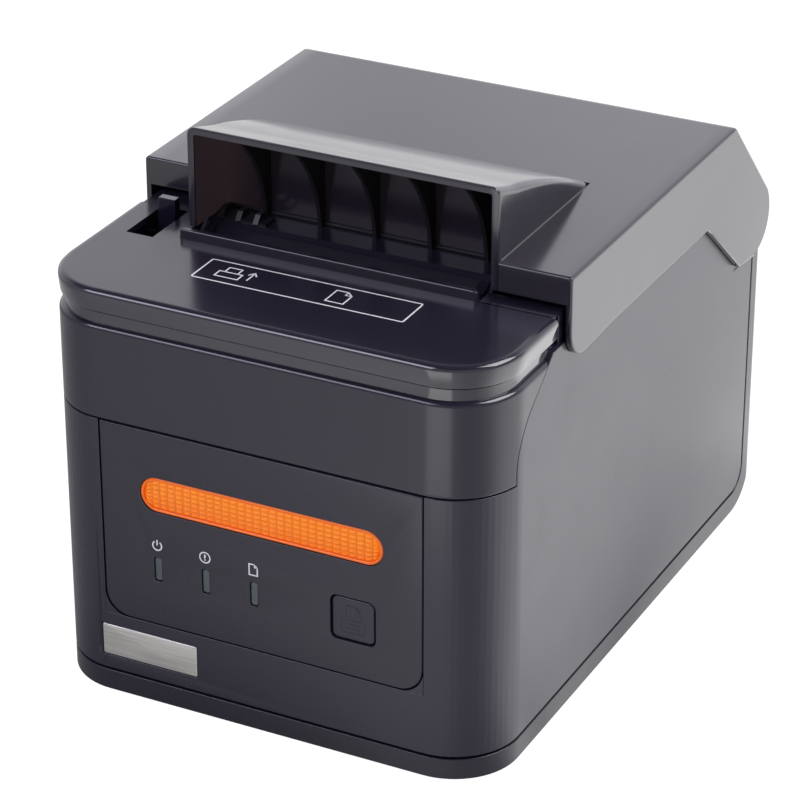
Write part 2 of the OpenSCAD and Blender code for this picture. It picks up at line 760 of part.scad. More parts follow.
module paper_lid() color(black) from_front() {
    rear = hinge_y - 30;
    low = fixed_z + blade_t + skin;
    nose = platen_y - 5.4;
    difference() {
        side_prism([-lid_x, lid_x]) polygon([[nose, low], [nose, low + 0.8], [nose + 7.4, lid_z],
            [rear, lid_z], [rear + 10, lid_z - 3.3], [rear + 10, lid_z - 5.8], [rear - 1.5, lid_z - lid_t],
            [nose + 8.2, lid_z - lid_t], [nose + 3, low]]);
        both_sides() block([46, far], [0, lever_deck_d + 0.5], [0, far]);
    }
    block([-41, 41], [nose + 6, nose + 8.6], [low + skin, lid_z - 1]);
    both_sides() {
        block([lid_x - lid_t, lid_x - skin], [lever_deck_d + 1, rear + 2], [lid_low, lid_z - 0.5]);
        difference() {
            side_prism(arm_x) {
                translate([platen_y, platen_z]) circle(6.3);
                polygon([[platen_y - 5, platen_z], [platen_y - 5, lid_z - 3], [platen_y, lid_z - 1],
                    [platen_y + 9, lid_z - 1], [platen_y + 6, platen_z]]);
            }
            rod_x([arm_x[0] - 1, arm_x[1] + 1], [platen_y, platen_z], bearing_r + fit);
        }
        block([lid_x - 1, knuckle_x[0] + 1], [rear - 3.5, rear + 6], [lid_z - 5.8, lid_z - 2.6]);
        difference() {
            side_prism(knuckle_x) {
                translate([hinge_y, hinge_z]) circle(8);
                polygon([[rear - 4, lid_z - 6], [rear - 4, lid_z - 2.2], [rear + 10, lid_z - 2.4],
                    [hinge_y - 8.2, hinge_z + 21.2], [hinge_y + 3, hinge_z + 7.4],
                    [hinge_y - 7.9, hinge_z], [hinge_y - 9.8, hinge_z + 13],
                    [bulkhead_y + 1, roof_z + 1.2], [rear + 8, roof_z + 3.6]]);
            }
            rod_x([knuckle_x[0] - 1, knuckle_x[1] + 1], [hinge_y, hinge_z], hinge_bore_r);
        }
    }
    for (x = [-20, 20]) block([x - 1, x + 1], [nose + 8.4, rear - 4], [lid_z - 5, lid_z - 1]);
}

module exit_guide() color(shell_dark) from_front() {
    y = platen_y + 2.6;
    block([-43.3, -27], [y, y + 5], [lid_z + skin / 2, lid_z + 0.8]);
    for (x = [-42.5, -36.8, -31.1]) side_prism([x, x + 1.6])
        polygon([[y - 0.4, lid_z + 0.3], [y + 1.6, lid_z + 2.6], [y + 4.6, lid_z + 2.6],
            [y + 5, lid_z + 0.3]]);
}

module platen_roller() color(black) from_front()
    ring_x([-roller_w / 2, roller_w / 2], [platen_y, platen_z], platen_r, shaft_r);

module platen_shaft() color(steel) from_front()
    rod_x([-48.4, gear_x[1] + 0.3], [platen_y, platen_z], shaft_r);

module platen_bearings() color(nylon) from_front() both_sides() {
    ring_x([arm_x[0] - 0.2, hook_x[1] + 0.2], [platen_y, platen_z], bearing_r, shaft_r + fit);
    ring_x([arm_x[0] - 0.9, arm_x[0] - skin], [platen_y, platen_z], bearing_r + 1, shaft_r + fit);
}

module platen_gear() color(nylon) from_front()
    gear(gear_x, [platen_y, platen_z], platen_teeth, platen_phase, shaft_r);

module fixed_blade() color(steel) from_front() difference() {
    block([-41, 41], [platen_y - 6.2, platen_y + 3.5], [fixed_z, fixed_z + blade_t]);
    for (x = [-30, 30]) rod_z(x, platen_y + 2, [0, far], 1.2);
}

module hinge_pins() color(steel) from_front() both_sides() {
    rod_x([knuckle_x[0] + 0.2, cover_x - cover_t - 0.3], [hinge_y, hinge_z], hinge_pin_r);
}

// ------------------------------------------------------------ feed mechanism

module mech_frame() color(steel) from_front() difference() {
    top = platen_z + 3;
    union() {
        block([-frame_x[1], frame_x[1]], mech_y, [mech_z, mech_z + sheet]);
        block([-frame_x[0] - skin, frame_x[0] + skin], [mech_y[1] - sheet, mech_y[1]],
            [mech_z + sheet - skin, platen_z - 18]);
        both_sides() {
            block(frame_x, mech_y, [mech_z, top]);
            side_prism(inner_x) polygon([[24, mech_z + sheet - skin], [24, platen_z - 12],
                [wall_y - 0.3, platen_z - 12], [wall_y - 0.3, top], [39, top],
                [39, pivot_c[1] + 4], [head_y - 0.4, pivot_c[1] + 4],
                [head_y - 0.4, pivot_c[1] - 6], [39, mech_z + sheet - skin]]);
        }
        block([-inner_x[0] - skin, inner_x[0] + skin], [wall_y, wall_y + sheet],
            [platen_z - 9, top]);
    }
    rod_x([-far, far], [lever_y, lever_z], latch_r + fit);
    rod_x([frame_x[0] - 1, frame_x[1] + 1], idler_c, idler_pin_r);
    rod_x([inner_x[0] - 1, inner_x[1] + 1], feed_c, 5.2);
    rod_x([-inner_x[1] - 1, inner_x[1] + 1], pivot_c, 1.2);
    for (x = [-48, 48], y = [32, 58]) rod_z(x, y, [mech_z - 1, mech_z + sheet + 1], 1.6);
    block([-14, 14], [28, 50], [mech_z - 1, mech_z + sheet + 1]);
}

module print_head() color(black) from_front() {
    block([-head_x, head_x], [head_y - 1, head_y], head_z);
    block([-head_x + 6, head_x - 6], [head_y - 1, head_y + 0.08],
        [platen_z - 0.9, platen_z + 0.9]);
}

module heat_sink() color(silver) from_front() difference() {
    block([-head_x, head_x], [head_y - 4.8, head_y - 1 - skin], [head_z[0] - 0.2, head_z[1] - 0.5]);
    rod_x([-far, far], pivot_c, 1.2 + fit);
    for (i = [-4 : 4]) block([i * 8 - 2.5, i * 8 + 2.5], [head_y - 6, head_y - 3.2],
        [pivot_c[1] + 3, head_z[1] + 1]);
}

module head_springs() color(steel) from_front()
    for (x = [-24, 24]) difference() {
        rod_y(x, [wall_y + sheet + 0.02, head_y - 4.8 - 0.55], platen_z + 0.5, 2.2);
        rod_y(x, [wall_y, head_y], platen_z + 0.5, 1.5);
    }

module head_pivot_pin() color(steel) from_front()
    rod_x([-inner_x[1] - 0.6, inner_x[1] + 0.6], pivot_c, 1.2);

module feed_motor() color(steel) from_front() {
    rod_x([20, inner_x[0] - skin], feed_c, 9.6);
    rod_x([inner_x[0] - 1, inner_x[1] + 0.8], feed_c, 4.5);
    rod_x([inner_x[0] - 1, hook_x[1]], feed_c, motor_shaft_r);
}

module motor_pinion() color("goldenrod") from_front() {
    gear(gear_x, feed_c, pinion_teeth, feed_phase, motor_shaft_r);
    rod_x([hook_x[1] + 0.2, gear_x[1]], feed_c, motor_shaft_r);
}

module idler_gear() color(nylon) from_front()
    gear(gear_x, idler_c, idler_teeth, idler_phase, idler_pin_r + fit);

module idler_pin() color(steel) from_front() {
    rod_x([gear_x[0] - 0.2, frame_x[1] + 0.5], idler_c, idler_pin_r);
    rod_x([gear_x[0] - 0.5, gear_x[0] - slip], idler_c, idler_pin_r + 0.8);
}

// ------------------------------------------------------------------- latch

module latch_shaft() color(steel) from_front()
    rod_x([lever_x[0] - 0.4, frame_x[1] + 0.6], [lever_y, lever_z], latch_r);

module latch_hooks() color(steel) from_front() both_sides() difference() {
    back = platen_y - bearing_r - 0.3;
    side_prism(hook_x) {
        translate([lever_y, lever_z]) circle(6);
        polygon([[lever_y - 5.5, lever_z - 1], [lever_y + 5.8, lever_z + 1], [back + 2, platen_z - 10],
            [back, platen_z - 5], [back, platen_z + 3.6], [back + 0.3, platen_z + 4.4],
            [back - 1.2, platen_z + 8], [back - 3.7, platen_z + 6], [back - 3.7, platen_z - 12]]);
    }
    rod_x([hook_x[0] - 1, hook_x[1] + 1], [lever_y, lever_z], latch_r);
}

module release_lever() color(shell_dark) from_front() difference() {
    side_prism(lever_x) {
        translate([lever_y, lever_z]) circle(6);
        polygon([[lever_y - 4.5, lever_z + 2], [lever_y + 4.5, lever_z + 2],
            [lever_y + 2.6, deck_z - 12], [lever_y + 1.6, lever_top], [lever_y - 0.9, lever_top],
            [lever_y - 2.2, deck_z - 12]]);
    }
    rod_x([lever_x[0] - 1, lever_x[1] + 1], [lever_y, lever_z], latch_r);
}

module lever_spring() color(steel) from_front() {
    x = -frame_x[0] + 0.6;
    ring_x([x, x + 3], [lever_y, lever_z], 4.3, latch_r + 0.4);
    block([x, x + 0.8], [lever_y + 3.5, lever_y + 4.3], [mech_z + sheet + 0.02, lever_z]);
}

// ------------------------------------------------------------------ cutter

module cutter_frame() color(steel) from_front() difference() {
    low = platen_z + 3 + skin;
    union() {
        block([-rail_x[1], rail_x[1]], [13, deck_d - 0.4], [blade_z + blade_t + slip,
            blade_z + blade_t + slip + 1.2]);
        block([-rail_x[1], rail_x[1]], [13, 38.5], [low, low + 1.25]);
        both_sides() {
            block([wing_x + 0.2, rail_x[1]], [13, deck_d - 1], [low, blade_z + blade_t + slip + skin]);
            block([rail_x[0], wing_x + 0.3], [13, deck_d - 1], [low, blade_z - slip]);
            block([rail_x[1] - skin, frame_x[1]], [mech_y[0], 36], [low, low + 1.5]);
        }
        side_prism([-29.5, -28.3]) polygon([[11, low + 0.5], [11, cut_motor_c[1] - 9],
            [29, cut_motor_c[1] - 9], [36, cutter_c[1] - 4], [36, low + 0.5]]);
        side_prism([-35.6, -34.4]) polygon([[14, low + 0.5], [14, cutter_c[1] - 4],
            [34, cutter_c[1] - 4], [34, low - 1.5], [17, low - 1.5], [17, low + 0.5]]);
    }
    block([-43.4, -29.6], [17, 37.5], [low - 1, low + 1.6]);
    rod_x([-30, -28], cut_motor_c, 3.2);
    rod_x([-30, -28], cutter_c, 1.5);
    rod_x([-36, -34], cutter_c, 2.5 + fit);
}

module moving_blade() color(silver) from_front() {
    difference() {
        level([blade_z, blade_z + blade_t]) polygon([[-wing_x, 16], [wing_x, 16], [wing_x, 32],
            [blade_x, 32], [blade_x, blade_rest_y], [0, blade_rest_y - 3], [-blade_x, blade_rest_y],
            [-blade_x, 32], [-wing_x, 32]]);
        for (x = [-22, 0, 22]) level([blade_z - 1, blade_z + 2]) translate([x, 24]) capsule(12, 5);
    }
    side_prism([cutter_gear_x[0] - 0.2, cutter_gear_x[1] + 0.2]) rack_outline();
}

// Rack under the blade, in mesh with the cutter gear
module rack_outline() {
    pitch = PI * gear_m;
    half = pitch / 4 - 0.06;
    flank = tan(pressure);
    add = 0.8 * gear_m;
    body = blade_z - rack_z - 0.95 * gear_m;
    for (i = [-5 : 1]) translate([cutter_c[0] + (i + 0.5) * pitch, rack_z])
        polygon([[-half + add * flank, -add], [half - add * flank, -add],
            [half + 1.1 * gear_m * flank, 1.1 * gear_m], [-half - 1.1 * gear_m * flank, 1.1 * gear_m]]);
    translate([cutter_c[0] - 5 * pitch, blade_z - body]) square([7 * pitch, body + skin]);
}

module cutter_gear() color(nylon) from_front() difference() {
    union() {
        side_prism(cutter_gear_x) translate(cutter_c) gear_outline(cutter_teeth, cutter_phase);
        rod_x([-42.8, cutter_gear_x[1]], cutter_c, 2.5);
        side_prism([-42.8, -36.4]) translate(cutter_c) knurled(7.1, 24);
    }
    rod_x([-43, cutter_gear_x[1] + 1], cutter_c, 1.5 + fit);
}

module knurled(r, n) polygon([for (i = [0 : 2 * n - 1]) spoke(r - (i % 2) * 0.5, i * 180 / n)]);

module cutter_gear_pin() color(steel) from_front() {
    rod_x([-43.3, -27.9], cutter_c, 1.5);
    rod_x([-43.9, -43.2], cutter_c, 2.4);
}

module cutter_motor() color(steel) from_front() {
    rod_x([-28.3 + skin, -3], cut_motor_c, 8);
    rod_x([-29.6, -28], cut_motor_c, 2.8);
    rod_x([-29.9, -28], cut_motor_c, motor_shaft_r);
}

module cutter_motor_pinion() color("goldenrod") from_front() {
    gear(cutter_gear_x, cut_motor_c, pinion_teeth, cut_motor_phase, motor_shaft_r);
    rod_x([cutter_gear_x[0] - 0.3, cutter_gear_x[1] + 0.2], cut_motor_c, motor_shaft_r);
}

// ------------------------------------------------------- paper compartment

module bucket_side(r) {
    translate([bucket_y, bucket_z]) circle(r);
    translate([bucket_y - r, bucket_z]) square([2 * r, roof_z - bucket_z]);
}

module paper_bucket() color(shell_mid) from_front() {
    outer = bucket_r + bucket_t;
    x = bucket_x + bucket_t;
    guide_z = platen_z - 14;
    difference() {
        side_prism([-x, x]) bucket_side(outer);
        side_prism([-bucket_x, bucket_x]) bucket_side(bucket_r);
        block([-far, far], [0, far], [roof_z - 0.01, far]);
        block([-bucket_x, bucket_x], [0, bucket_y], [guide_z, far]);
    }
    rod_x([-bucket_x - skin, bucket_x + skin], [bucket_y - bucket_r - bucket_t / 2, guide_z],
        bucket_t / 2);
    difference() {
        block([-x - 9, x + 9], [bucket_y - outer, bucket_y + outer + 3], [roof_z + 0.02, roof_z + 1.5]);
        block([-bucket_x, bucket_x], [0, bucket_y + bucket_r], [roof_z - 1, far]);
    }
    both_sides() block([bucket_x, x], [bucket_y - 30, bucket_y + 30], [roof_z - 2, roof_z + 1]);
    block([-20, 20], [bucket_y + bucket_r + 0.1, bucket_y + outer], [roof_z - 2, roof_z + 1]);
}

module paper_end_sensor() color(black) from_front() {
    z = platen_z - 18;
    block([-6, 6], [mech_y[1] - sheet - 4, mech_y[1] - sheet - skin], [z - 8, z]);
    block([-1.5, 1.5], [mech_y[1] - sheet - 3, mech_y[1] - sheet - 1], [z - skin, z + 2]);
}

module near_end_sensor() color(black) from_front() {
    x = bucket_x + bucket_t + skin;
    block([x, x + 4], [bucket_y - 28, bucket_y - 19], [bucket_z - 26, bucket_z - 16]);
}

// ------------------------------------------------------------- electronics

module main_board() color(green) from_front() difference() {
    block([-64, 64], [bucket_y - 46, board_end], [board_z + 0.02, board_z + board_t]);
    for (x = [-1, 1]) rod_z(x * post_x, posts_y[1], [0, far], post_r + 0.5);
    for (x = [-40, 40], y = [bucket_y - 42, board_post_y]) rod_z(x, y, [0, far], 1.5);
}

module board_components() color(black) from_front() {
    z = board_z + board_t + skin / 2;
    y = bucket_y;
    block([-12, 10], [y - 12, y + 10], [z, z + 2]);
    block([20, 34], [y - 20, y - 10], [z, z + 1.6]);
    block([-36, -22], [y + 14, y + 24], [z, z + 2.4]);
    block([18, 26], [y + 24, y + 44], [z, z + 5]);
    block([-58, -40], [y - 36, y - 31], [z, z + 5.5]);
    for (x = [-58, -46]) rod_z(x, y + 34, [z, z + 6.4], 4.5);
    for (x = [40, 50]) rod_z(x, y - 30, [z, z + 5.4], 3.4);
}

module socket_shell(x, w, h, mouth, depth) {
    front = body_d - rear_lean - 14;
    back = body_d - 0.6;
    mid = port_z + mouth[2];
    difference() {
        block([x - w / 2, x + w / 2], [front, back], [port_z, port_z + h]);
        block([x - mouth[0] / 2, x + mouth[0] / 2], [back - depth, back + 1],
            [mid - mouth[1] / 2, mid + mouth[1] / 2]);
    }
}

module power_inlet() color(black) from_front() {
    z = port_z + 8;
    back = body_d + 0.4;
    difference() {
        union() {
            rod_y(inlet_x, [rear_in - 8, back], z, 8);
            block([inlet_x - 7, inlet_x + 7], [board_end - 0.6, rear_in - 0.5], [port_z, z]);
        }
        rod_y(inlet_x, [back - 9, back + 1], z, 5.5);
    }
    for (a = [90, 210, 330]) rod_y(inlet_x + 3 * cos(a), [back - 9.1, back - 4.6], z + 3 * sin(a), 0.8);
}

module usb_port() color(silver) from_front() {
    socket_shell(usb_x, 12, 11.2, [8.6, 8, 5.6], 10);
    block([usb_x - 2.8, usb_x + 2.8], [body_d - 11, body_d - 5.4],
        [port_z + 4, port_z + 7.2]);
}

module lan_port() color(silver) from_front() socket_shell(lan_x, 15.8, 13.4, [11.8, 8.4, 6.4], 12);

module drawer_port() color(black) from_front()
    socket_shell(drawer_x, 15.8, 13.4, [9.8, 6.8, 6.4], 12);

module rocker_bezel() color(black) from_front() difference() {
    union() {
        front_prism([body_d - 10, body_d - 0.2]) translate([rocker_x, rocker_z])
            square([rocker_w + 4, rocker_h + 4], center = true);
        front_prism([body_d - 0.25, body_d + 0.9]) translate([rocker_x, rocker_z])
            rounded(rocker_w + 8, rocker_h + 8, 1.5);
    }
    front_prism([body_d - 8.8, body_d + 2]) translate([rocker_x, rocker_z])
        square([rocker_w + 0.8, rocker_h + 1.2], center = true);
}

// The switch rests with its lower half pressed in
module power_rocker() color(black) from_front()
    translate([rocker_x, body_d - 5.4, rocker_z]) rotate([-rocker_tilt, 0, 0]) difference() {
        block([-rocker_w / 2, rocker_w / 2], [-2, 4.6], [-rocker_h / 2 + 0.3, rocker_h / 2 - 0.3]);
        rod_x([-far, far], [4.6 + 38.8, 0], 40);
    }

module buzzer() color(black) from_front() difference() {
    z = board_z + board_t + skin / 2;
    rod_z(40, bucket_y + 40, [z, z + 6], 6);
    rod_z(40, bucket_y + 40, [z + 5, z + 7], 1.2);
}

// ------------------------------------------------------------ feet, screws

module rubber_feet() color(black) from_front()
    for (x = [-1, 1], y = feet_y) rod_z(x * foot_x, y, [0, foot_h + 0.68], foot_r);

module case_screws() color(steel) from_front()
    for (x = [-1, 1], y = posts_y) {
        rod_z(x * post_x, y, [foot_h, foot_h + 1.18], 3.2);
        rod_z(x * post_x, y, [foot_h + 1, post_split + 12], 1.4);
    }

module mechanism_screws() color(steel) from_front()
    for (x = [-48, 48], y = [32, 58]) {
        rod_z(x, y, [mech_z + sheet + 0.02, mech_z + sheet + 1.2], 3);
        rod_z(x, y, [mech_z - 10, mech_z + sheet + 0.5], 1.5);
    }

base_tray();
main_housing();
control_panel();
light_bar_lens();
light_bar_board();
status_light_pipes();
feed_button();
panel_board();
badge_plate();
front_cover();
release_lever();
latch_shaft();
latch_hooks();
lever_spring();
splash_cover();
paper_lid();
exit_guide();
platen_roller();
platen_shaft();
platen_bearings();
platen_gear();
fixed_blade();
hinge_pins();
mech_frame();
print_head();
heat_sink();
head_springs();
head_pivot_pin();
feed_motor();
motor_pinion();
idler_gear();
idler_pin();
cutter_frame();
moving_blade();
cutter_gear();
cutter_gear_pin();
cutter_motor();
cutter_motor_pinion();
paper_bucket();
paper_end_sensor();
near_end_sensor();
main_board();
board_components();
power_inlet();
usb_port();
lan_port();
drawer_port();
power_rocker();
rocker_bezel();
buzzer();
rubber_feet();
case_screws();
mechanism_screws();
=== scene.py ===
# %% [markdown]
# # A desktop receipt printer, surface by surface
# The printer is a dark moulded case with a smoky splash cover over its paper
# bay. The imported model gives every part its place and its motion, and this
# lesson gives the parts that can be seen their rounded edges and finishes.
# Each moulding is worked out as a whole grid of points, because a case is
# really one outline carried up or along a path.

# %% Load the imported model
import json
import math

import bpy
import bmesh
import numpy as np
from mathutils import Matrix, Vector
from mathutils.geometry import tessellate_polygon


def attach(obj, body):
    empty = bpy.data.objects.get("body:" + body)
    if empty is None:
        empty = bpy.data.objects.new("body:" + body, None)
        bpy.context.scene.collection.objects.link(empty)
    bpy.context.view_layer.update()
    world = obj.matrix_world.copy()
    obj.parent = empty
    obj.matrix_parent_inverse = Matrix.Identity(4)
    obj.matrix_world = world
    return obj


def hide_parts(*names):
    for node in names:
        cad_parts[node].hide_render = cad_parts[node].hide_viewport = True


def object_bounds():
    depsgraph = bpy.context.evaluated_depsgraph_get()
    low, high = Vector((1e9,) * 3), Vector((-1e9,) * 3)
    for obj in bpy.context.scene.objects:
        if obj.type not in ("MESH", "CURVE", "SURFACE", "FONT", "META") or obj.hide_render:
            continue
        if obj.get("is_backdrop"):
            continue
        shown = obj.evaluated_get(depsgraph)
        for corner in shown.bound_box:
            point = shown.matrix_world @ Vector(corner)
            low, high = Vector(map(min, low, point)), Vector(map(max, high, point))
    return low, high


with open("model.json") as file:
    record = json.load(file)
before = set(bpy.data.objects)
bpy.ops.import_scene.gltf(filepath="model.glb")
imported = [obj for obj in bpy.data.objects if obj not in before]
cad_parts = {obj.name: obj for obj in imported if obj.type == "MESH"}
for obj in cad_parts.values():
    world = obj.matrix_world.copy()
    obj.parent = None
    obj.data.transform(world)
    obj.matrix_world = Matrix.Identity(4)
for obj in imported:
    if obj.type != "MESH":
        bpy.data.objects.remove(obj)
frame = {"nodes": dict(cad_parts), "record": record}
nodes = frame["nodes"]
cad_box = [list(corner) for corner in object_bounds()]
print("CAD box in metres", cad_box)

# %% [markdown]
# The camera looks down on the front right corner from about a metre away
# through a long lens, so the upright edges stay nearly parallel. Its three
# axes are written out, because that places it exactly.

# %% Camera
camera_right = (0.892287, 0.451468, -0.000387)
camera_up = (-0.204832, 0.405597, 0.890806)
camera_back = (0.402327, -0.794775, 0.454384)
camera_place = (0.402220, -0.806108, 0.521969)
lens = bpy.data.cameras.new("camera")
lens.lens = 152.44
lens.sensor_width = 36
camera = bpy.data.objects.new("camera", lens)
bpy.context.scene.collection.objects.link(camera)
turned = Matrix((camera_right, camera_up, camera_back)).transposed().to_4x4()
camera.matrix_world = Matrix.Translation(camera_place) @ turned
bpy.context.scene.camera = camera
bpy.context.scene.view_settings.view_transform = "Standard"
print(f"camera at {camera_place}, {lens.lens:.0f} mm")

# %% [markdown]
# Nodes are added through one small helper, so that a material reads as a
# short recipe: what kind of node, and what goes into it. Sums, products and
# ranges are so common that each has a short name of its own.

# %% Node helpers
def add(tree, kind, inputs=None, **settings):
    """A node of one kind. Settings are its properties; inputs are set to a value or linked to a socket."""
    made = tree.nodes.new(kind)
    for key, value in settings.items():
        setattr(made, key, value)
    for key, value in (inputs or {}).items():
        if isinstance(value, bpy.types.NodeSocket):
            tree.links.new(value, made.inputs[key])
        else:
            made.inputs[key].default_value = value
    return made


def calc(tree, operation, *values):
    """One step of arithmetic on numbers."""
    return add(tree, "ShaderNodeMath", dict(enumerate(values)), operation=operation).outputs[0]


def calc_vector(tree, operation, *values, **scale):
    """One step of arithmetic on vectors or colours; a length is a number, all else a vector."""
    made = add(tree, "ShaderNodeVectorMath", {**dict(enumerate(values)), **scale}, operation=operation)
    return made.outputs["Value" if operation == "LENGTH" else "Vector"]


def carry(tree, value, low, high, start=0.0, end=1.0, kind="LINEAR"):
    """A value between low and high, carried over to start and end and held there outside them."""
    return add(tree, "ShaderNodeMapRange", {0: value, 1: low, 2: high, 3: start, 4: end},
               interpolation_type=kind).outputs[0]


def mix_colors(tree, share, first, second):
    """The first colour where share is 0, the second where it is 1."""
    return add(tree, "ShaderNodeMix", {0: share, 6: first, 7: second}, data_type="RGBA").outputs[2]


def axes(tree, vector):
    """The x, y and z of a vector."""
    return add(tree, "ShaderNodeSeparateXYZ", {0: vector}).outputs


def own_place(tree):
    """Where a point lies on the printer, in metres."""
    return add(tree, "ShaderNodeTexCoord").outputs["Object"]


def facing_up(tree):
    """1 on a level face that looks up, 0 on an upright one."""
    return axes(tree, add(tree, "ShaderNodeNewGeometry").outputs["Normal"])[2]


def bare_tree(owner):
    """The emptied node tree of a material or a world."""
    owner.use_nodes = True
    owner.node_tree.nodes.clear()
    return owner.node_tree


def tone(red, green, blue):
    """A colour given as screen values 0 to 255, as the linear colour the shader needs."""
    c = np.array([red, green, blue]) / 255
    return (*np.where(c < 0.04045, c / 12.92, ((c + 0.055) / 1.055) ** 2.4), 1.0)


# %% [markdown]
# The printer stands on a pale floor that runs to the horizon. A glossy dark
# case looks like what it mirrors: its upright sides mirror the bright floor,
# its deck the dim top of the studio, and its round corners all that lies
# between. So the strength of floor and sky changes with the direction: each
# is a ring of stops (degrees from the front, strength).

# %% Rings of light
AROUND = [(-180, 1.6), (-150, 1.2), (-135, 0.5), (-109, 0.34), (-90, 0.38), (-70, 0.4), (-48, 0.72),
          (-27, 1.0), (15, 1.0), (22, 0.85), (40, 0.6), (58, 0.6), (75, 1.0), (93, 1.9), (110, 2.1),
          (135, 1.65), (146, 1.97), (153, 1.95), (158, 1.88), (160, 1.78), (163.8, 1.42), (165.5, 1.58),
          (170, 2.2), (180, 2.2)]
PATCH = [(-180, 0.0), (-20, 0.0), (-17, 1.4), (17, 1.4), (20, 0.0), (180, 0.0)]
HORIZON = [(-180, 1.3), (-157, 1.37), (-152.5, 1.08), (-149.5, 1.45), (-130, 1.45), (-105, 0.9),
           (-80, 0.5), (60, 0.45), (100, 0.4), (140, 0.6), (143, 1.3), (152.8, 1.3), (154, 0.3), (157.2, 0.3),
           (158.6, 1.5), (172, 1.5), (180, 1.3)]
RING_TOP = 3.0


def ring_of_light(tree, direction, stops):
    """A strength that changes with the direction round a point: a colour ramp over the full turn of the angle
    arctan2(x, -y). A ramp can't pass 1, so it holds shares of RING_TOP."""
    x, y, _ = axes(tree, direction)
    angle = calc(tree, "ARCTAN2", x, calc(tree, "MULTIPLY", y, -1.0))
    ring = add(tree, "ShaderNodeValToRGB", {0: carry(tree, angle, -math.pi, math.pi)})
    elements = ring.color_ramp.elements
    while len(elements) < len(stops):
        elements.new(0.5)
    for element, (degrees, strength) in zip(elements, stops):
        element.position = (degrees + 180) / 360
        element.color = (strength / RING_TOP,) * 3 + (1,)
    return ring.outputs[0]


print(len(AROUND), "stops round the floor,", len(HORIZON), "round the horizon")

# %% [markdown]
# The floor is one flat disc under the feet. The camera sees it plain white
# and the printer sees it as a ring of light, because the Light Path node
# tells what each ray is for.

# %% Floor
ROUND_CORNER = (0.0505, -0.0778, 0)
HALF_FOOTPRINT = (0.0705, 0.0977, 0)
FLOOR_RADIUS, FLOOR_DEPTH, FLOOR_POINTS = 9, 0.0001, 64


def floor_paint():
    """White to the camera. To the printer it glows with the ring AROUND, seen from the middle of its front
    right rounding, with PATCH fading in from 0.13 to 0.21 m away; within 5 cm of the footprint it dims by up
    to a third."""
    paint = bpy.data.materials.new("pale_floor")
    tree = bare_tree(paint)
    ray = add(tree, "ShaderNodeLightPath").outputs
    seen = calc(tree, "MAXIMUM", ray["Is Camera Ray"], ray["Is Glossy Ray"])
    seen = calc(tree, "MAXIMUM", seen, ray["Is Transmission Ray"])
    spot = own_place(tree)
    from_corner = calc_vector(tree, "SUBTRACT", spot, ROUND_CORNER)
    away = carry(tree, calc_vector(tree, "LENGTH", from_corner), 0.13, 0.21, kind="SMOOTHSTEP")
    level = calc(tree, "MULTIPLY_ADD", ring_of_light(tree, from_corner, PATCH), away,
                 ring_of_light(tree, from_corner, AROUND))
    past = calc_vector(tree, "SUBTRACT", calc_vector(tree, "ABSOLUTE", spot), HALF_FOOTPRINT)
    gap = calc_vector(tree, "LENGTH", calc_vector(tree, "MAXIMUM", past, (0, 0, 0)))
    shade = carry(tree, gap, 0.0, 0.05, RING_TOP * 2 / 3, RING_TOP, "SMOOTHSTEP")
    strength = add(tree, "ShaderNodeMix", {0: ray["Is Camera Ray"], 2: calc(tree, "MULTIPLY", level, shade),
                                           3: 1.25}, data_type="FLOAT")
    matt = add(tree, "ShaderNodeBsdfDiffuse", {"Color": (0.8, 0.8, 0.8, 1)})
    white = add(tree, "ShaderNodeEmission", {"Color": (1, 1, 1, 1), "Strength": strength.outputs[0]})
    both = add(tree, "ShaderNodeMixShader", {0: calc(tree, "MULTIPLY", seen, 0.8), 1: matt.outputs[0],
                                             2: white.outputs[0]})
    add(tree, "ShaderNodeOutputMaterial", {"Surface": both.outputs[0]})
    return paint


def make_floor():
    """A disc just under the feet: points at r (cos a, sin a)."""
    a = np.linspace(0, 2 * np.pi, FLOOR_POINTS + 1)[:-1]
    ring = np.stack([FLOOR_RADIUS * np.cos(a), FLOOR_RADIUS * np.sin(a), 0 * a - FLOOR_DEPTH], -1)
    mesh = bpy.data.meshes.new("floor")
    mesh.from_pydata(ring, [], [tuple(range(FLOOR_POINTS))])
    mesh.materials.append(floor_paint())
    floor = bpy.data.objects.new("floor", mesh)
    bpy.context.scene.collection.objects.link(floor)
    floor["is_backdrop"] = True
    print(f"a floor of {FLOOR_RADIUS} m radius")


make_floor()

# %% [markdown]
# The sky is the world's own light, brightest near the horizon and dim above,
# as in a studio with a white sweep and a dark ceiling. Two large soft lamps
# give the edges their highlights: a white one from the right, and a weaker,
# cooler one from the front left.

# %% Sky and lamps
MIDDLE = Vector((0, 0, 0.08))


def make_sky():
    """World light whose strength follows the ring HORIZON up to a height of 0.48, the sine of 29 degrees, and
    falls to a fifth of it above 0.72, the sine of 46."""
    world = bpy.data.worlds.new("studio")
    bpy.context.scene.world = world
    tree = bare_tree(world)
    direction = add(tree, "ShaderNodeTexCoord").outputs["Generated"]
    level = calc(tree, "MULTIPLY", ring_of_light(tree, direction, HORIZON), RING_TOP)
    fall = carry(tree, axes(tree, direction)[2], 0.48, 0.72, 1.0, 0.2, "SMOOTHSTEP")
    glow = add(tree, "ShaderNodeBackground", {"Color": (0.96, 0.95, 1.0, 1),
                                              "Strength": calc(tree, "MULTIPLY", level, fall)})
    add(tree, "ShaderNodeOutputWorld", {"Surface": glow.outputs[0]})


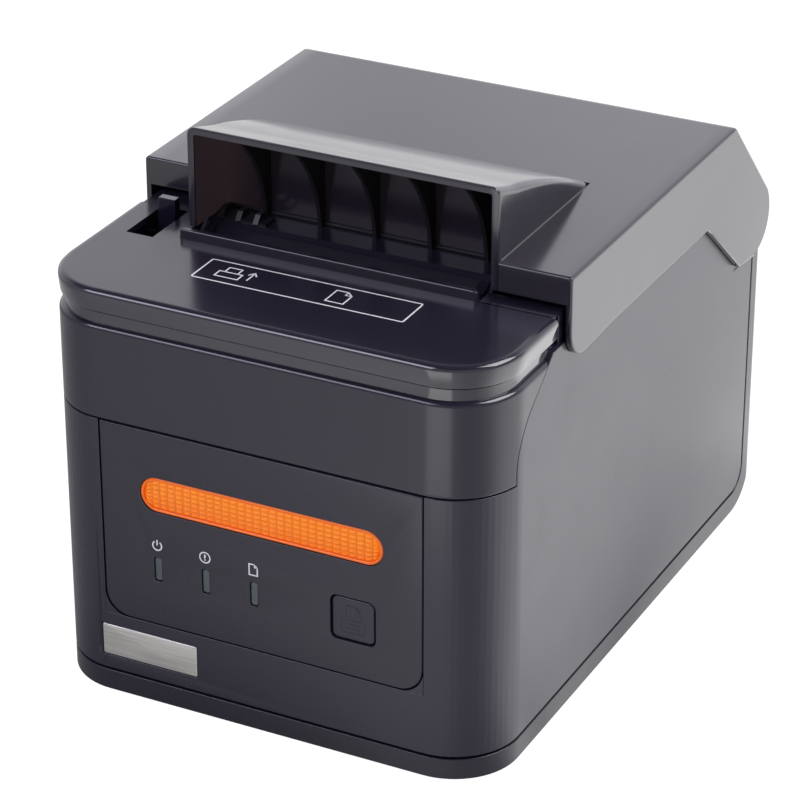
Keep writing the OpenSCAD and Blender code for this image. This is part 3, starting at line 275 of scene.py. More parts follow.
def lamp(name, towards, distance, size, power, color=(1, 1, 1)):
    """A soft rectangular lamp in the direction given, facing the middle of the printer."""
    light = bpy.data.lights.new(name, "AREA")
    light.shape = "RECTANGLE"
    light.size, light.size_y = size
    light.energy = power
    light.color = color
    made = bpy.data.objects.new(name, light)
    bpy.context.scene.collection.objects.link(made)
    made.location = MIDDLE + Vector(towards).normalized() * distance
    made.rotation_euler = (MIDDLE - made.location).to_track_quat("-Z", "Y").to_euler()
    print(f"lamp {name}: {power} W")


make_sky()
lamp("key_right", (0.6, 0.2, 0.72), 1.4, (1.0, 0.8), 18)
lamp("front_fill", (-0.45, -0.75, 0.7), 1.5, (0.9, 0.5), 8, (0.84, 0.8, 1.0))

# %% [markdown]
# Real mouldings are never one flat colour. Their skin has a fine spark-eroded
# grain, its sheen wanders a little where hands have polished it, and dust
# settles on what faces up. The grain and the wander are one shader group,
# and each plastic places it with its own values.

# %% Shared effects: moulded skin
def new_group(name, takes, gives):
    """A shader group with named inputs (label, kind, value) and outputs (label, kind)."""
    tree = bpy.data.node_groups.new(name, "ShaderNodeTree")
    for label, kind, value in takes:
        tree.interface.new_socket(label, in_out="INPUT", socket_type=kind).default_value = value
    for label, kind in gives:
        tree.interface.new_socket(label, in_out="OUTPUT", socket_type=kind)
    return tree, tree.nodes.new("NodeGroupInput").outputs, tree.nodes.new("NodeGroupOutput").inputs


COLOR, NUMBER, VECTOR = "NodeSocketColor", "NodeSocketFloat", "NodeSocketVector"


def noise(tree, place, scale, detail, roughness=0.5):
    """Soft noise from 0 to 1, with so many swings to a metre."""
    return add(tree, "ShaderNodeTexNoise", {"Vector": place, "Scale": scale, "Detail": detail,
                                            "Roughness": roughness}).outputs[0]


def moulded_skin():
    """A fine noise gives the bump, a broad one shifts the colour, and one between them sets the roughness and
    how the dust lies on what faces up."""
    tree, takes, gives = new_group(
        "moulded_skin",
        [("Color", COLOR, (0.1, 0.1, 0.1, 1)), ("Grain per metre", NUMBER, 2400), ("Grain depth", NUMBER, 6e-6),
         ("Shade change", NUMBER, 0.1), ("Smooth", NUMBER, 0.3), ("Rough", NUMBER, 0.42),
         ("Dust", NUMBER, 0.02)],
        [("Color", COLOR), ("Roughness", NUMBER), ("Normal", VECTOR)])
    place = own_place(tree)
    swing = calc(tree, "SUBTRACT", noise(tree, place, 16.0, 4.0, 0.6), 0.5)
    swing = calc(tree, "ADD", calc(tree, "MULTIPLY", swing, takes["Shade change"]), 1.0)
    shaded = calc_vector(tree, "SCALE", takes["Color"], Scale=swing)
    patch = noise(tree, place, 55.0, 5.0, 0.65)
    dusty = calc(tree, "MULTIPLY", carry(tree, facing_up(tree), 0.6, 1.0), takes["Dust"])
    dusty = calc(tree, "MULTIPLY", dusty, patch)
    bump = add(tree, "ShaderNodeBump", {"Height": noise(tree, place, takes["Grain per metre"], 2.0),
                                        "Distance": takes["Grain depth"], "Strength": 1.0})
    tree.links.new(mix_colors(tree, dusty, shaded, (0.55, 0.54, 0.52, 1)), gives["Color"])
    tree.links.new(carry(tree, patch, 0.3, 0.7, takes["Smooth"], takes["Rough"]), gives["Roughness"])
    tree.links.new(bump.outputs[0], gives["Normal"])
    return tree


skin_group = moulded_skin()
print(skin_group.name, "is a group of", len(skin_group.nodes), "nodes")

# %% [markdown]
# Metal shows how it was worked. Rolled and ground parts have fine parallel
# lines, which are noise squeezed hard across one direction, and they carry
# faint smudges. That is the second group.

# %% Shared effects: drawn metal
def drawn_metal():
    """Noise stretched along one axis by the Stretch vector gives lines for colour, roughness and bump."""
    tree, takes, gives = new_group(
        "drawn_metal",
        [("Color", COLOR, (0.6, 0.6, 0.62, 1)), ("Stretch", VECTOR, (40, 3000, 3000)),
         ("Line depth", NUMBER, 2e-6), ("Smooth", NUMBER, 0.22), ("Rough", NUMBER, 0.4)],
        [("Color", COLOR), ("Roughness", NUMBER), ("Normal", VECTOR)])
    place = own_place(tree)
    lines = noise(tree, calc_vector(tree, "MULTIPLY", place, takes["Stretch"]), 1.0, 3.0)
    both = calc(tree, "ADD", lines, noise(tree, place, 90.0, 3.0))
    color = calc_vector(tree, "SCALE", takes["Color"], Scale=carry(tree, lines, 0.3, 0.7, 0.82, 1.12))
    bump = add(tree, "ShaderNodeBump", {"Height": lines, "Distance": takes["Line depth"]})
    tree.links.new(color, gives["Color"])
    tree.links.new(carry(tree, both, 0.7, 1.3, takes["Smooth"], takes["Rough"]), gives["Roughness"])
    tree.links.new(bump.outputs[0], gives["Normal"])
    return tree


metal_group = drawn_metal()
print(metal_group.name, "is a group of", len(metal_group.nodes), "nodes")

# %% [markdown]
# A finish is then one call: the group's values, and the constants that go
# straight onto the shader, such as its coat and its index of refraction.

# %% Plastics and metals
def finish(name, group, values, metallic=0.0, **constants):
    """A material: one effect group feeding colour, roughness and normal, and constants on the shader."""
    material = bpy.data.materials.new(name)
    tree = bare_tree(material)
    effect = add(tree, "ShaderNodeGroup", node_tree=group)
    for key, value in values.items():
        effect.inputs[key].default_value = value
    shader = add(tree, "ShaderNodeBsdfPrincipled", {
        "Base Color": effect.outputs["Color"], "Roughness": effect.outputs["Roughness"],
        "Normal": effect.outputs["Normal"], "Metallic": metallic})
    for key, value in constants.items():
        shader.inputs[key.replace("_", " ")].default_value = value
    add(tree, "ShaderNodeOutputMaterial", {"Surface": shader.outputs[0]})
    return material


def plastic(name, color, smooth=0.3, rough=0.42, grain=(2400, 6e-6), change=0.12, dust=0.02, **constants):
    """A moulded skin: colour as screen values, grain as (grains to a metre, depth in metres)."""
    return finish(name, skin_group, {
        "Color": tone(*color), "Grain per metre": grain[0], "Grain depth": grain[1], "Shade change": change,
        "Smooth": smooth, "Rough": rough, "Dust": dust}, **constants)


def metal(name, color, stretch=(40, 3000, 3000), depth=2e-6, smooth=0.22, rough=0.4, **constants):
    """A worked metal: its lines run along the axis with the smallest stretch."""
    return finish(name, metal_group, {
        "Color": tone(*color), "Stretch": stretch, "Line depth": depth, "Smooth": smooth, "Rough": rough},
        metallic=1.0, **constants)


finishes = {
    "housing_plastic": plastic("satin_case", (35, 31, 47), smooth=0.22, rough=0.28, dust=0.004, IOR=1.52),
    "cover_plastic": plastic("glossy_deck", (35, 32, 46), smooth=0.17, rough=0.22, dust=0.004, IOR=1.52),
    "tray_plastic": plastic("satin_tray", (34, 31, 44), smooth=0.22, rough=0.3, dust=0.004, IOR=1.52),
    "panel_plastic": plastic("satin_panel", (37, 34, 47), smooth=0.26, rough=0.33, dust=0.004, IOR=1.5),
    "smoke_plastic": plastic("smoky_cover", (36, 32, 44), smooth=0.15, rough=0.22, grain=(1500, 2e-6),
                             change=0.06, dust=0.004, IOR=1.55, Coat_Weight=0.3, Coat_Roughness=0.12),
    "button_plastic": plastic("button_plastic", (38, 35, 49), smooth=0.34, rough=0.44),
    "black_plastic": plastic("black_plastic", (27, 25, 33), smooth=0.3, rough=0.45),
    "inner_plastic": plastic("matte_inside", (25, 22, 26), smooth=0.5, rough=0.65, IOR=1.35),
    "gloss_black": plastic("gloss_black", (29, 27, 42), smooth=0.12, rough=0.2, grain=(900, 1e-6),
                           Coat_Weight=0.5, Coat_Roughness=0.05),
    "nylon": plastic("natural_nylon", (222, 217, 203), smooth=0.35, rough=0.5, Subsurface_Weight=0.1,
                     Subsurface_Scale=0.002),
    "white_diffuser": plastic("milky_light_pipe", (66, 78, 74), smooth=0.12, rough=0.2, grain=(900, 1e-6),
                              Coat_Weight=0.4),
    "platen_rubber": plastic("platen_rubber", (34, 33, 35), smooth=0.55, rough=0.7, grain=(5000, 1.2e-5)),
    "foot_rubber": plastic("foot_rubber", (26, 26, 27), smooth=0.6, rough=0.8, grain=(3500, 1.5e-5)),
    "head_ceramic": plastic("head_ceramic", (206, 196, 178), smooth=0.25, rough=0.4),
    "steel_sheet": metal("zinc_sheet", (176, 178, 184)),
    "steel_pin": metal("ground_pin", (196, 198, 204), stretch=(3000, 60, 60), smooth=0.12, rough=0.25),
    "blade_steel": metal("ground_blade", (205, 207, 212), stretch=(30, 4000, 4000), smooth=0.14, rough=0.28),
    "aluminium_sink": metal("extruded_sink", (200, 202, 205), stretch=(60, 60, 3000), smooth=0.3, rough=0.45),
    "brushed_plate": metal("brushed_plate", (222, 220, 216), stretch=(60, 4000, 4500), depth=3e-6, smooth=0.28,
                           rough=0.42),
    "brass_gear": metal("brass_gear", (206, 168, 92), stretch=(2500, 200, 200), smooth=0.2, rough=0.35),
    "motor_steel": metal("motor_can", (150, 152, 158), stretch=(60, 2600, 2600), smooth=0.28, rough=0.46),
    "port_metal": metal("plated_shell", (192, 194, 198), stretch=(200, 2600, 2600), smooth=0.18, rough=0.32),
}


def ingredients(material):
    """A finish's node tree, its shader and its effect group."""
    tree = material.node_tree
    shader = next(node for node in tree.nodes if node.type == "BSDF_PRINCIPLED")
    effect = next(node for node in tree.nodes if node.type == "GROUP")
    return tree, shader, effect


print(len(finishes), "finishes from two groups")

# %% [markdown]
# Two plastics are not the same all over. The upright faces of the front cover's upper step are more highly
# polished than the rest of it. The smoky cover is tinted so deeply that it is made opaque here. Under the hood
# it is given a faint warm glow of its own: painted light in place of the light that would seep through the
# tinted plastic, painted weaker towards the right.

# %% Polish and seeping light
def polish_above(material, height, share):
    """Above a height in metres, upright faces are polished: a share of the roughness, and a clear coat."""
    tree, shader, effect = ingredients(material)
    above = calc(tree, "GREATER_THAN", axes(tree, own_place(tree))[2], height)
    both = calc(tree, "MULTIPLY", above, carry(tree, facing_up(tree), 0.5, 0.9, 1.0, 0.0))
    rough = calc(tree, "MULTIPLY", effect.outputs["Roughness"], carry(tree, both, 0.0, 1.0, 1.0, share))
    tree.links.new(rough, shader.inputs["Roughness"])
    tree.links.new(calc(tree, "MULTIPLY", both, 0.8), shader.inputs["Coat Weight"])
    shader.inputs["Coat Roughness"].default_value = 0.05


def seeping_light(material, low, high, color, fade, far_share):
    """Painted light: inside a box in metres the tinted plastic is given a faint warm glow in place of light
    seen through it, which fades to a far share of itself over a width from the box's left side."""
    tree, shader, _ = ingredients(material)
    place = axes(tree, own_place(tree))
    tests = [calc(tree, "GREATER_THAN", axis, limit) for axis, limit in zip(place, low)]
    tests += [calc(tree, "LESS_THAN", axis, limit) for axis, limit in zip(place, high)]
    inside = tests[0]
    for test in tests[1:]:
        inside = calc(tree, "MULTIPLY", inside, test)
    level = calc(tree, "MULTIPLY", carry(tree, place[0], low[0], low[0] + fade, 1.0, far_share), inside)
    tree.links.new(calc_vector(tree, "SCALE", tone(*color)[:3], Scale=level), shader.inputs["Emission Color"])
    shader.inputs["Emission Strength"].default_value = 1.0


polish_above(finishes["cover_plastic"], height=0.1178, share=0.35)
seeping_light(finishes["smoke_plastic"], low=(-0.0445, -0.0520, 0.1300), high=(0.0490, -0.0305, 0.1610),
              color=(34, 26, 27), fade=0.012, far_share=0.15)
print("polished front cover, and light seeping into the smoky hood")

# %% [markdown]
# The light bar is clear amber plastic with lamps behind it, so it glows on its own, deeper orange in its lower
# half. On its facets the glow is painted: made brightest at their tips and weakest in the grooves, a painted
# highlight and painted shade in place of light catching the facets. A circuit board is green lacquer over
# copper tracks, with tin where
# parts are soldered. A board's tracks only hint at a circuit, so two ready
# patterns do: the joints of stepped bricks, and the cells' middles.

# %% Amber lens and circuit board
def amber_lens():
    """Orange that glows: light at the top of the bar and deep at its foot. It is painted strong at the facets'
    tips and weak in the grooves between them, as painted highlight and shade. Places are in metres: heights,
    and depths from the case's middle."""
    foot, top, groove, tip = 0.0645, 0.0715, -0.0967, -0.09752
    material = plastic("amber_lens", (232, 130, 42), smooth=0.1, rough=0.2, grain=(1200, 1e-6), change=0.1,
                       dust=0.0, Specular_IOR_Level=0.25)
    tree, shader, _ = ingredients(material)
    _, depth, height = axes(tree, own_place(tree))
    warm = carry(tree, height, foot, top, kind="SMOOTHSTEP")
    # painted highlight and shade: the glow is scaled up at the facets' tips and down in the grooves
    glow = calc_vector(tree, "SCALE", mix_colors(tree, warm, tone(236, 106, 20), tone(248, 148, 40)),
                       Scale=carry(tree, depth, groove, tip, 0.25, 1.6))
    tree.links.new(glow, shader.inputs["Emission Color"])
    shader.inputs["Emission Strength"].default_value = 0.38
    return material


def circuit_board():
    """Lacquer green, with lighter tracks where a stepped brick pattern's joints run, and tinned pads."""
    material = plastic("circuit_board", (24, 84, 48), smooth=0.18, rough=0.3, Coat_Weight=0.4)
    tree, shader, effect = ingredients(material)
    place = own_place(tree)
    tracks = add(tree, "ShaderNodeTexBrick", {"Vector": place, "Scale": 120.0, "Mortar Size": 0.03,
                                              "Brick Width": 0.9, "Row Height": 0.22})
    pads = add(tree, "ShaderNodeTexVoronoi", {"Vector": place, "Scale": 260.0})
    laid = mix_colors(tree, tracks.outputs["Fac"], effect.outputs["Color"], tone(58, 128, 74))
    spot = calc(tree, "LESS_THAN", pads.outputs["Distance"], 0.22)
    tree.links.new(mix_colors(tree, spot, laid, tone(200, 198, 186)), shader.inputs["Base Color"])
    return material


finishes["amber_lens"] = amber_lens()
finishes["circuit_board"] = circuit_board()
finishes["amber_rim"] = plastic("amber_rim", (226, 112, 34), smooth=0.12, rough=0.2, dust=0.0,
                                Specular_IOR_Level=0.35, Emission_Color=tone(228, 94, 16),
                                Emission_Strength=0.26)
print("amber lens and its rim, circuit board")

# %% [markdown]
# The last finishes are for places on the front: the tinted status windows,
# and the white and dark inks of the printed marks.

# %% Windows and inks
finishes["status_tint"] = plastic("status_tint", (62, 76, 76), smooth=0.08, rough=0.15, dust=0.0,
                                  Coat_Weight=0.5)
finishes["print_white"] = plastic("print_white", (235, 235, 238), smooth=0.4, rough=0.5, dust=0.0)
finishes["print_dark"] = plastic("print_dark", (20, 18, 32), smooth=0.3, rough=0.4, dust=0.0)
print(len(finishes), "finishes in all")

# %% [markdown]
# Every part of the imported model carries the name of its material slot. The
# parts inside the case keep the shapes that they have, and take their finish
# by that name.

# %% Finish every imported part
for part in frame["record"]["subparts"]:
    slots = nodes[part["node"]].data.materials
    slots.clear()
    slots.append(finishes[part["material_slot"]])

# %% [markdown]
# Each new piece starts as points in millimetres, with y counted from the
# case's front face, as on a drawing. One helper moves them to the model's
# frame, welds shared points, turns the faces outwards and keeps edges
# sharper than 32 degrees crisp.

# %% From points to a piece
CASE_FRONT = -0.09775
WELD = 2e-6


def in_frame(points):
    """Millimetres from the case's front face to metres in the model's frame: y / 1000 - 0.09775."""
    return np.asarray(points, float).reshape(-1, 3) * 0.001 + (0, CASE_FRONT, 0)


def tidy_faces(faces):
    """Faces with repeated corners dropped, and those left with fewer than three taken out."""
    kept = (tuple(dict.fromkeys(int(i) for i in face)) for face in faces)
    return [face for face in kept if len(face) > 2]


def shown(name, mesh, material, crisp=32):
    """The object of a mesh in its material, smooth but for edges sharper than crisp degrees."""
    mesh.shade_smooth()
    mesh.set_sharp_from_angle(angle=math.radians(crisp))
    mesh.materials.clear()
    mesh.materials.append(material)
    made = bpy.data.objects.new(name, mesh)
    bpy.context.scene.collection.objects.link(made)
    return made


def soften_edges(made, width, steps, angle):
    """A rounding of so many millimetres on every edge sharper than an angle in degrees."""
    bevel = made.modifiers.new("soft_edges", "BEVEL")
    bevel.width = width * 0.001
    bevel.segments = steps
    bevel.limit_method = "ANGLE"
    bevel.angle_limit = math.radians(angle)
    bevel.harden_normals = True
    return bevel


def piece(name, parts, finish_name, body, stands_for=(), soften=0.0, steps=2, crisp=32):
    """One object from (points, faces) parts; soften is the width of the rounding on its sharp edges, in mm."""
    points, faces, start = [], [], 0
    for part_points, part_faces in parts:
        part_points = np.asarray(part_points, float).reshape(-1, 3)
        faces += [tuple(i + start for i in face) for face in tidy_faces(part_faces)]
        points.append(part_points)
        start += len(part_points)
    mesh = bpy.data.meshes.new(name)
    mesh.from_pydata(in_frame(np.concatenate(points)), [], faces)
    work = bmesh.new()
    work.from_mesh(mesh)
    bmesh.ops.remove_doubles(work, verts=work.verts, dist=WELD)
    bmesh.ops.recalc_face_normals(work, faces=work.faces)
    work.to_mesh(mesh)
    open_edges = sum(1 for edge in work.edges if len(edge.link_faces) == 1)
    work.free()
    made = shown(name, mesh, finishes[finish_name], crisp)
    if soften:
        soften_edges(made, soften, steps, 38)
    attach(made, body)
    if stands_for:
        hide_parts(*stands_for)
    print(f"{name}: {len(mesh.vertices)} points, {len(mesh.polygons)} faces, {open_edges} open edges")


# %% [markdown]
# Most small pieces are one outline carried along a straight line. A face
# with a rounded edge is the same outline again, a little smaller at each
# step, following a quarter circle.

# %% Outlines, stacks and grids
def arc(centre, radius, start, end, count):
    """Points centre + radius (cos a, sin a), with a running evenly from start to end in degrees."""
    a = np.radians(np.linspace(start, end, count))
    return np.stack([centre[0] + radius * np.cos(a), centre[1] + radius * np.sin(a)], -1)


def outline(box, radii, inset=0.0, count=7):
    """A rounded rectangle, anticlockwise from its low left corner: four quarter circles whose centres stay put
    while inset shrinks them. box is (left, low, right, high), and radii go round in the same order."""
    left, low, right, high = box
    r = np.maximum(np.asarray(radii, float) - inset, 0.0)
    hold = np.maximum(np.asarray(radii, float), inset)
    centres = [(left + hold[0], low + hold[0]), (right - hold[1], low + hold[1]),
               (right - hold[2], high - hold[2]), (left + hold[3], high - hold[3])]
    starts = (180, 270, 0, 90)
    return np.concatenate([arc(centres[k], r[k], starts[k], starts[k] + 90, count) for k in range(4)])


def box_about(x, z, width, height):
    """The (left, low, right, high) of a box about its middle."""
    return x - width / 2, z - height / 2, x + width / 2, z + height / 2


def quarter(radius, count=5):
    """Pairs (inset, depth) that turn a wall into a face: radius (1 - cos a) and radius (1 - sin a)."""
    a = np.radians(np.linspace(0, 90, count))
    return [(radius * (1 - math.cos(k)), radius * (1 - math.sin(k))) for k in a]


def lift(flat, level, axis):
    """A flat outline placed at one level along an axis: x keeps (y, z), y keeps (x, z), z keeps (x, y)."""
    return np.insert(np.asarray(flat, float), "xyz".index(axis), level, axis=1)


def grid_faces(rows, cols, around=False):
    """Quads of a grid of rows x cols points, closed round on itself if around is true."""
    index = np.arange(rows * cols).reshape(rows, cols)
    if around:
        index = np.concatenate([index, index[:, :1]], 1)
    return np.stack([index[:-1, :-1], index[:-1, 1:], index[1:, 1:], index[1:, :-1]], -1).reshape(-1, 4)


def tube(rings, ends=True):
    """A closed skin through rings of equally many points, with a flat face over each end."""
    rings = np.asarray(rings, float)
    rows, cols = rings.shape[:2]
    faces = grid_faces(rows, cols, True).tolist()
    if ends:
        faces += [list(range(cols)), list(range((rows - 1) * cols, rows * cols))]
    return rings.reshape(-1, 3), faces


def pad(box, radii, front, back, edge, axis="y"):
    """A slab from back to front whose front rim is a quarter circle of radius edge."""
    way = 1 if back > front else -1
    steps = [(0.0, back)] + [(i, front + way * d) for i, d in quarter(edge)]
    return tube([lift(outline(box, radii, inset), level, axis) for inset, level in steps])


def prism(profile, low, high, axis="x"):
    """A flat profile carried straight along one axis from low to high."""
    return tube([lift(profile, low, axis), lift(profile, high, axis)])


def rod(centre, radius, low, high, axis="x", edge=0.25, count=32):
    """A round bar with broken edges: circles of radius r - inset along the axis."""
    turn = np.linspace(0, 2 * np.pi, count + 1)[:-1]
    ring = np.stack([np.cos(turn), np.sin(turn)], -1)
    steps = [(edge, low), (0, low + edge), (0, high - edge), (edge, high)]
    return tube([lift(np.asarray(centre) + (radius - inset) * ring, level, axis) for inset, level in steps])


def plate(shapes, front, back, edge, hole_edge):
    """An upright plate with holes: the first shape is its outline, the rest are holes. Each is (box, radii).
    Every rim is a quarter circle, and both faces are filled between the outline and the holes."""
    points, faces, fronts, backs, start = [], [], [], [], 0
    for number, (box, radii) in enumerate(shapes):
        sign, rim = (1, edge) if number == 0 else (-1, hole_edge)
        steps = [(0.0, back)] + [(sign * i, front + d) for i, d in quarter(rim)]
        rings = np.array([lift(outline(box, radii, inset), level, "y") for inset, level in steps])
        rows, cols = rings.shape[:2]
        points.append(rings.reshape(-1, 3))
        faces += (grid_faces(rows, cols, True) + start).tolist()
        backs.append(np.arange(cols) + start)
        fronts.append(np.arange(cols) + start + (rows - 1) * cols)
        start += rows * cols
    points = np.concatenate(points)
    for loops in (fronts, backs):
        order = np.concatenate(loops)
        flat = [[Vector(points[i]) for i in loop] for loop in loops]
        faces += [[int(order[i]) for i in corner] for corner in tessellate_polygon(flat)]
    return points, faces


def walls(outer, inner, faces):
    """A wall between two matched skins: faces on the outer one, the same faces turned round on the inner one,
    and a strip along every edge that only one face uses. Points that both skins share twice are welded."""
    outer, inner = (np.asarray(skin, float).reshape(-1, 3) for skin in (outer, inner))
    _, first, same = np.unique(np.round(np.hstack([outer, inner]), 4), axis=0, return_index=True,
                               return_inverse=True)
    same = same.ravel()
    faces = tidy_faces([same[list(face)] for face in faces])
    outer, inner, many = outer[first], inner[first], len(first)
    edges = np.concatenate([np.stack([face, np.roll(face, -1)], 1) for face in map(np.array, faces)])
    alone = edges[~np.isin(edges[:, 0] * many + edges[:, 1], edges[:, 1] * many + edges[:, 0])]
    rim = np.stack([alone[:, 1], alone[:, 0], alone[:, 0] + many, alone[:, 1] + many], 1).tolist()
    back = [tuple(i + many for i in face[::-1]) for face in faces]
    return np.concatenate([outer, inner]), faces + back + rim


print("a quarter round of 1 mm in steps of (inset, depth):", np.round(quarter(1.0), 2).tolist())

# %% [markdown]
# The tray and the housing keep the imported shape. A moulded edge is never a
# knife edge though, so each one is copied, its loose triangles are welded back
# into faces, and a narrow bevel rounds whatever is sharp.

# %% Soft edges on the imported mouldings
def softened(node, name, body, width):
    """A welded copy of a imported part: triangles in one plane join into faces, and edges past 35 degrees get a
    bevel so many millimetres wide."""
    work = bmesh.new()
    work.from_mesh(nodes[node].data)
    bmesh.ops.remove_doubles(work, verts=work.verts, dist=WELD)
    bmesh.ops.dissolve_limit(work, angle_limit=math.radians(0.5), verts=work.verts, edges=work.edges)
    mesh = bpy.data.meshes.new(name)
    work.to_mesh(mesh)
    short = sum(1 for edge in work.edges if edge.calc_length() < width * 0.002)
    work.free()
    made = shown(name, mesh, nodes[node].data.materials[0])
    soften_edges(made, width, 2, 35).use_clamp_overlap = False
    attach(made, body)
    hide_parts(node)
    print(f"{name}: {len(mesh.polygons)} faces, {short} edges shorter than twice the bevel")


softened("base_tray", "base_tray_soft", "case", 0.3)
softened("main_housing", "main_housing_soft", "case", 0.25)

# %% [markdown]
# The front cover wraps round the front of the case. Its outline is one line
# in plan: up the left side, round a 20 mm corner, across the front, round
# the other corner and back. Each height has its own inset, which rounds the
# shoulder and the deck's edge, and its own ends, which draw the curved seam
# to the housing. Stacking those lines gives the whole skin in one grid, which
# keeps the shoulder's light band smooth as it turns the corner.

# %% The line round the front of the case
HALF, CORNER = 70.5, 20.0
SEAM_TURN = (37, 93)
SEAM_RADIUS, SEAM_CLIMB = 20.3, math.radians(38)


def round_the_front(inset, left_end, right_end):
    """Rows of plan points. A point lies on the side at x = +-(70.5 - inset), on a corner circle of radius
    20 - inset about (+-50.5, 20), or on the front at y = inset. The legs stretch to each row's own ends, and
    the corners past 15 degrees stay in line from row to row."""
    inset, left_end, right_end = (np.asarray(v, float)[:, None] for v in (inset, left_end, right_end))
    r = CORNER - inset
    knee = math.radians(15)
    legs, turn, across = 10, 18, 14

    def leg(end):
        """Points from an end, along the side or part of the corner, to 15 degrees round the corner."""
        past = np.arcsin(np.clip((CORNER - end) / r, 0, 1))
        length = np.where(end >= CORNER, end - CORNER + r * knee, r * (knee - past))
        along = length * np.linspace(1, 0, legs)
        a = np.where(along < r * knee, knee - along / r, 0)
        y = np.where(along < r * knee, CORNER - r * np.sin(a), CORNER + along - r * knee)
        return HALF - CORNER + r * np.cos(a), y

    a = np.linspace(knee, np.pi / 2, turn)[1:]
    x_turn, y_turn = HALF - CORNER + r * np.cos(a), CORNER - r * np.sin(a)
    x_front = np.broadcast_to(np.linspace(-(HALF - CORNER), HALF - CORNER, across)[1:-1],
                              (len(inset), across - 2))
    left_x, left_y = leg(left_end)
    right_x, right_y = leg(right_end)
    x = np.concatenate([-left_x, -x_turn, x_front, x_turn[:, ::-1], right_x[:, ::-1]], 1)
    y = np.concatenate([left_y, y_turn, np.broadcast_to(inset, x_front.shape), y_turn[:, ::-1],
                        right_y[:, ::-1]], 1)
    return x, y


def seam(z, gap):
    """Where the seam to the housing runs at height z: an upright, a circle of radius 20.3 + gap about
    (37, 93), then a line that climbs at 38 degrees."""
    r, (y_turn, z_turn) = SEAM_RADIUS + gap, SEAM_TURN
    y_leave, z_leave = y_turn - r * math.sin(SEAM_CLIMB), z_turn + r * math.cos(SEAM_CLIMB)
    bow = y_turn - np.sqrt(np.maximum(r * r - (z - z_turn) ** 2, 0))
    climb = y_leave + (z - z_leave) / math.tan(SEAM_CLIMB)
    return np.where(z <= z_turn, y_turn - r, np.where(z < z_leave, bow, climb))


print("at 118.4 mm the seam is", round(float(seam(np.array(118.4), 0.3)), 1), "mm behind the front")

# %% [markdown]
# The front cover is a shoulder and a deck in one moulding. Its skin is a list
# of rows (height, inset) from the foot up, each carried along the line above,
# and the flat deck closes it with a slot for the lever. The lip in front of
# the paper exit is a bar that shrinks at both ends.

# %% Front cover
DECK, STEP = 129.0, 120.28
DECK_INSIDE, INNER_INSET = 126.8, 3.4


def front_cover_skins():
    """The outer skin's rows, the plain inner skin, and the flat deck over them. Below STEP the rows end at the
    seam to the housing, above it at the deck's own ends."""
    rows = [(89.8 + d, i) for i, d in ((0.5, 0.0), (0.25, 0.07), (0.07, 0.25), (0.0, 0.5))]
    rows += [(90.8, 0.0), (92.9, 0.0)]
    rows += [(z, 0.0) for z in 93 + 16.2 * np.sin(np.radians(np.linspace(2, 90, 18)))]
    rows += [(z, 0.0) for z in (111.5, 114, 116.0, 116.5)]
    rows += [(118.4 - d, i) for i, d in quarter(1.7, 8)]
    rows += [(118.5, 1.72), (120.25, 1.66), (120.3, 1.66), (121.7, 1.6), (121.9, 1.75), (122.1, 1.85)]
    rows += [(122.25, 1.5), (122.4, 0.75), (122.6, 0.5), (122.9, 0.4), (126.4, 0.05), (126.9, 0.02)]
    rows += [(DECK - d, 0.02 + i) for i, d in quarter(1.9, 9)]
    rows += [(DECK, 2.6)]
    z, inset = np.array(rows).T
    right = np.where(z < STEP, np.minimum(seam(z, 0.3), 38.5), 41.0)
    left = np.where(z < STEP, right, 58.0)
    x, y = round_the_front(inset, left, right)
    outer = np.stack([x, y, np.broadcast_to(z[:, None], x.shape)], -1)
    x, y = round_the_front(np.full(len(z), INNER_INSET), left, right)
    inner = np.stack([x, y, np.broadcast_to(np.minimum(z, DECK_INSIDE)[:, None], x.shape)], -1)
    rows_n, cols_n = x.shape
    back_edge = np.array([(67.9, 41), (46.7, 41), (-47, 41), (-47, 58), (-53.6, 58), (-53.6, 37.7),
                          (-62.3, 37.7), (-62.3, 58), (-67.9, 58)], float)
    outer = np.concatenate([outer.reshape(-1, 3), lift(back_edge, DECK, "z")])
    inner = np.concatenate([inner.reshape(-1, 3), lift(back_edge, DECK_INSIDE, "z")])
    last = (rows_n - 1) * cols_n
    deck = list(range(last, last + cols_n)) + list(range(rows_n * cols_n + 1, rows_n * cols_n + 8))
    return outer, inner, grid_faces(rows_n, cols_n).tolist() + [deck]


def exit_bead():
    """The raised lip in front of the paper exit: a bar with a round top, drawn in a little at both ends."""
    section = np.concatenate([[(40.5, 126.5), (42.5, 126.5)], arc((42.05, 131.55), 0.45, 0, 90, 6),
                              arc((40.95, 131.55), 0.45, 90, 180, 6)])
    middle = np.array([41.5, 129.4])
    right_end = [(45.2, 1.0), (45.9, 0.95), (46.3, 0.8), (46.5, 0.55)]
    ends = [(-x, share) for x, share in right_end[::-1]] + right_end
    return tube([lift(middle + (section - middle) * share, x, "x") for x, share in ends])


rear_lip = pad((46.7, 40.4, 69.4, 47.6), (0.3, 0.3, 0.8, 0.3), DECK, 128.62, 0.12, "z")
piece("front_cover_shell", [walls(*front_cover_skins()), exit_bead(), rear_lip], "cover_plastic",
      "cutter_cover", ["front_cover"], soften=0.3)

# %% [markdown]
# The splash cover is a thin tinted shell over the paper bay: a flat roof, a
# rear slope down to the hinge, and side walls that run forward past the
# housing as a skirt. The roof has three strips, because it starts further
# forward on the right than on the left, and the hood fills the middle.

# %% Splash cover: its line and its roof
SIDE, ROOF, SKIN, ROOF_ROUND = 72.47, 139.5, 2.0, 1.0
RIGHT_FRONT, LEFT_FRONT, MIDDLE_FRONT = 45.2, 66.1, 106.0
HOOD_LEFT, HOOD_RIGHT = -46.0, 50.6
HINGE, LOBE = np.array([183.5, 101.6]), 11.985
HEEL, HEEL_RADIUS, SLOPE_LEAN = (162, 135.5), 4, 43.74
LOBE_END = 30


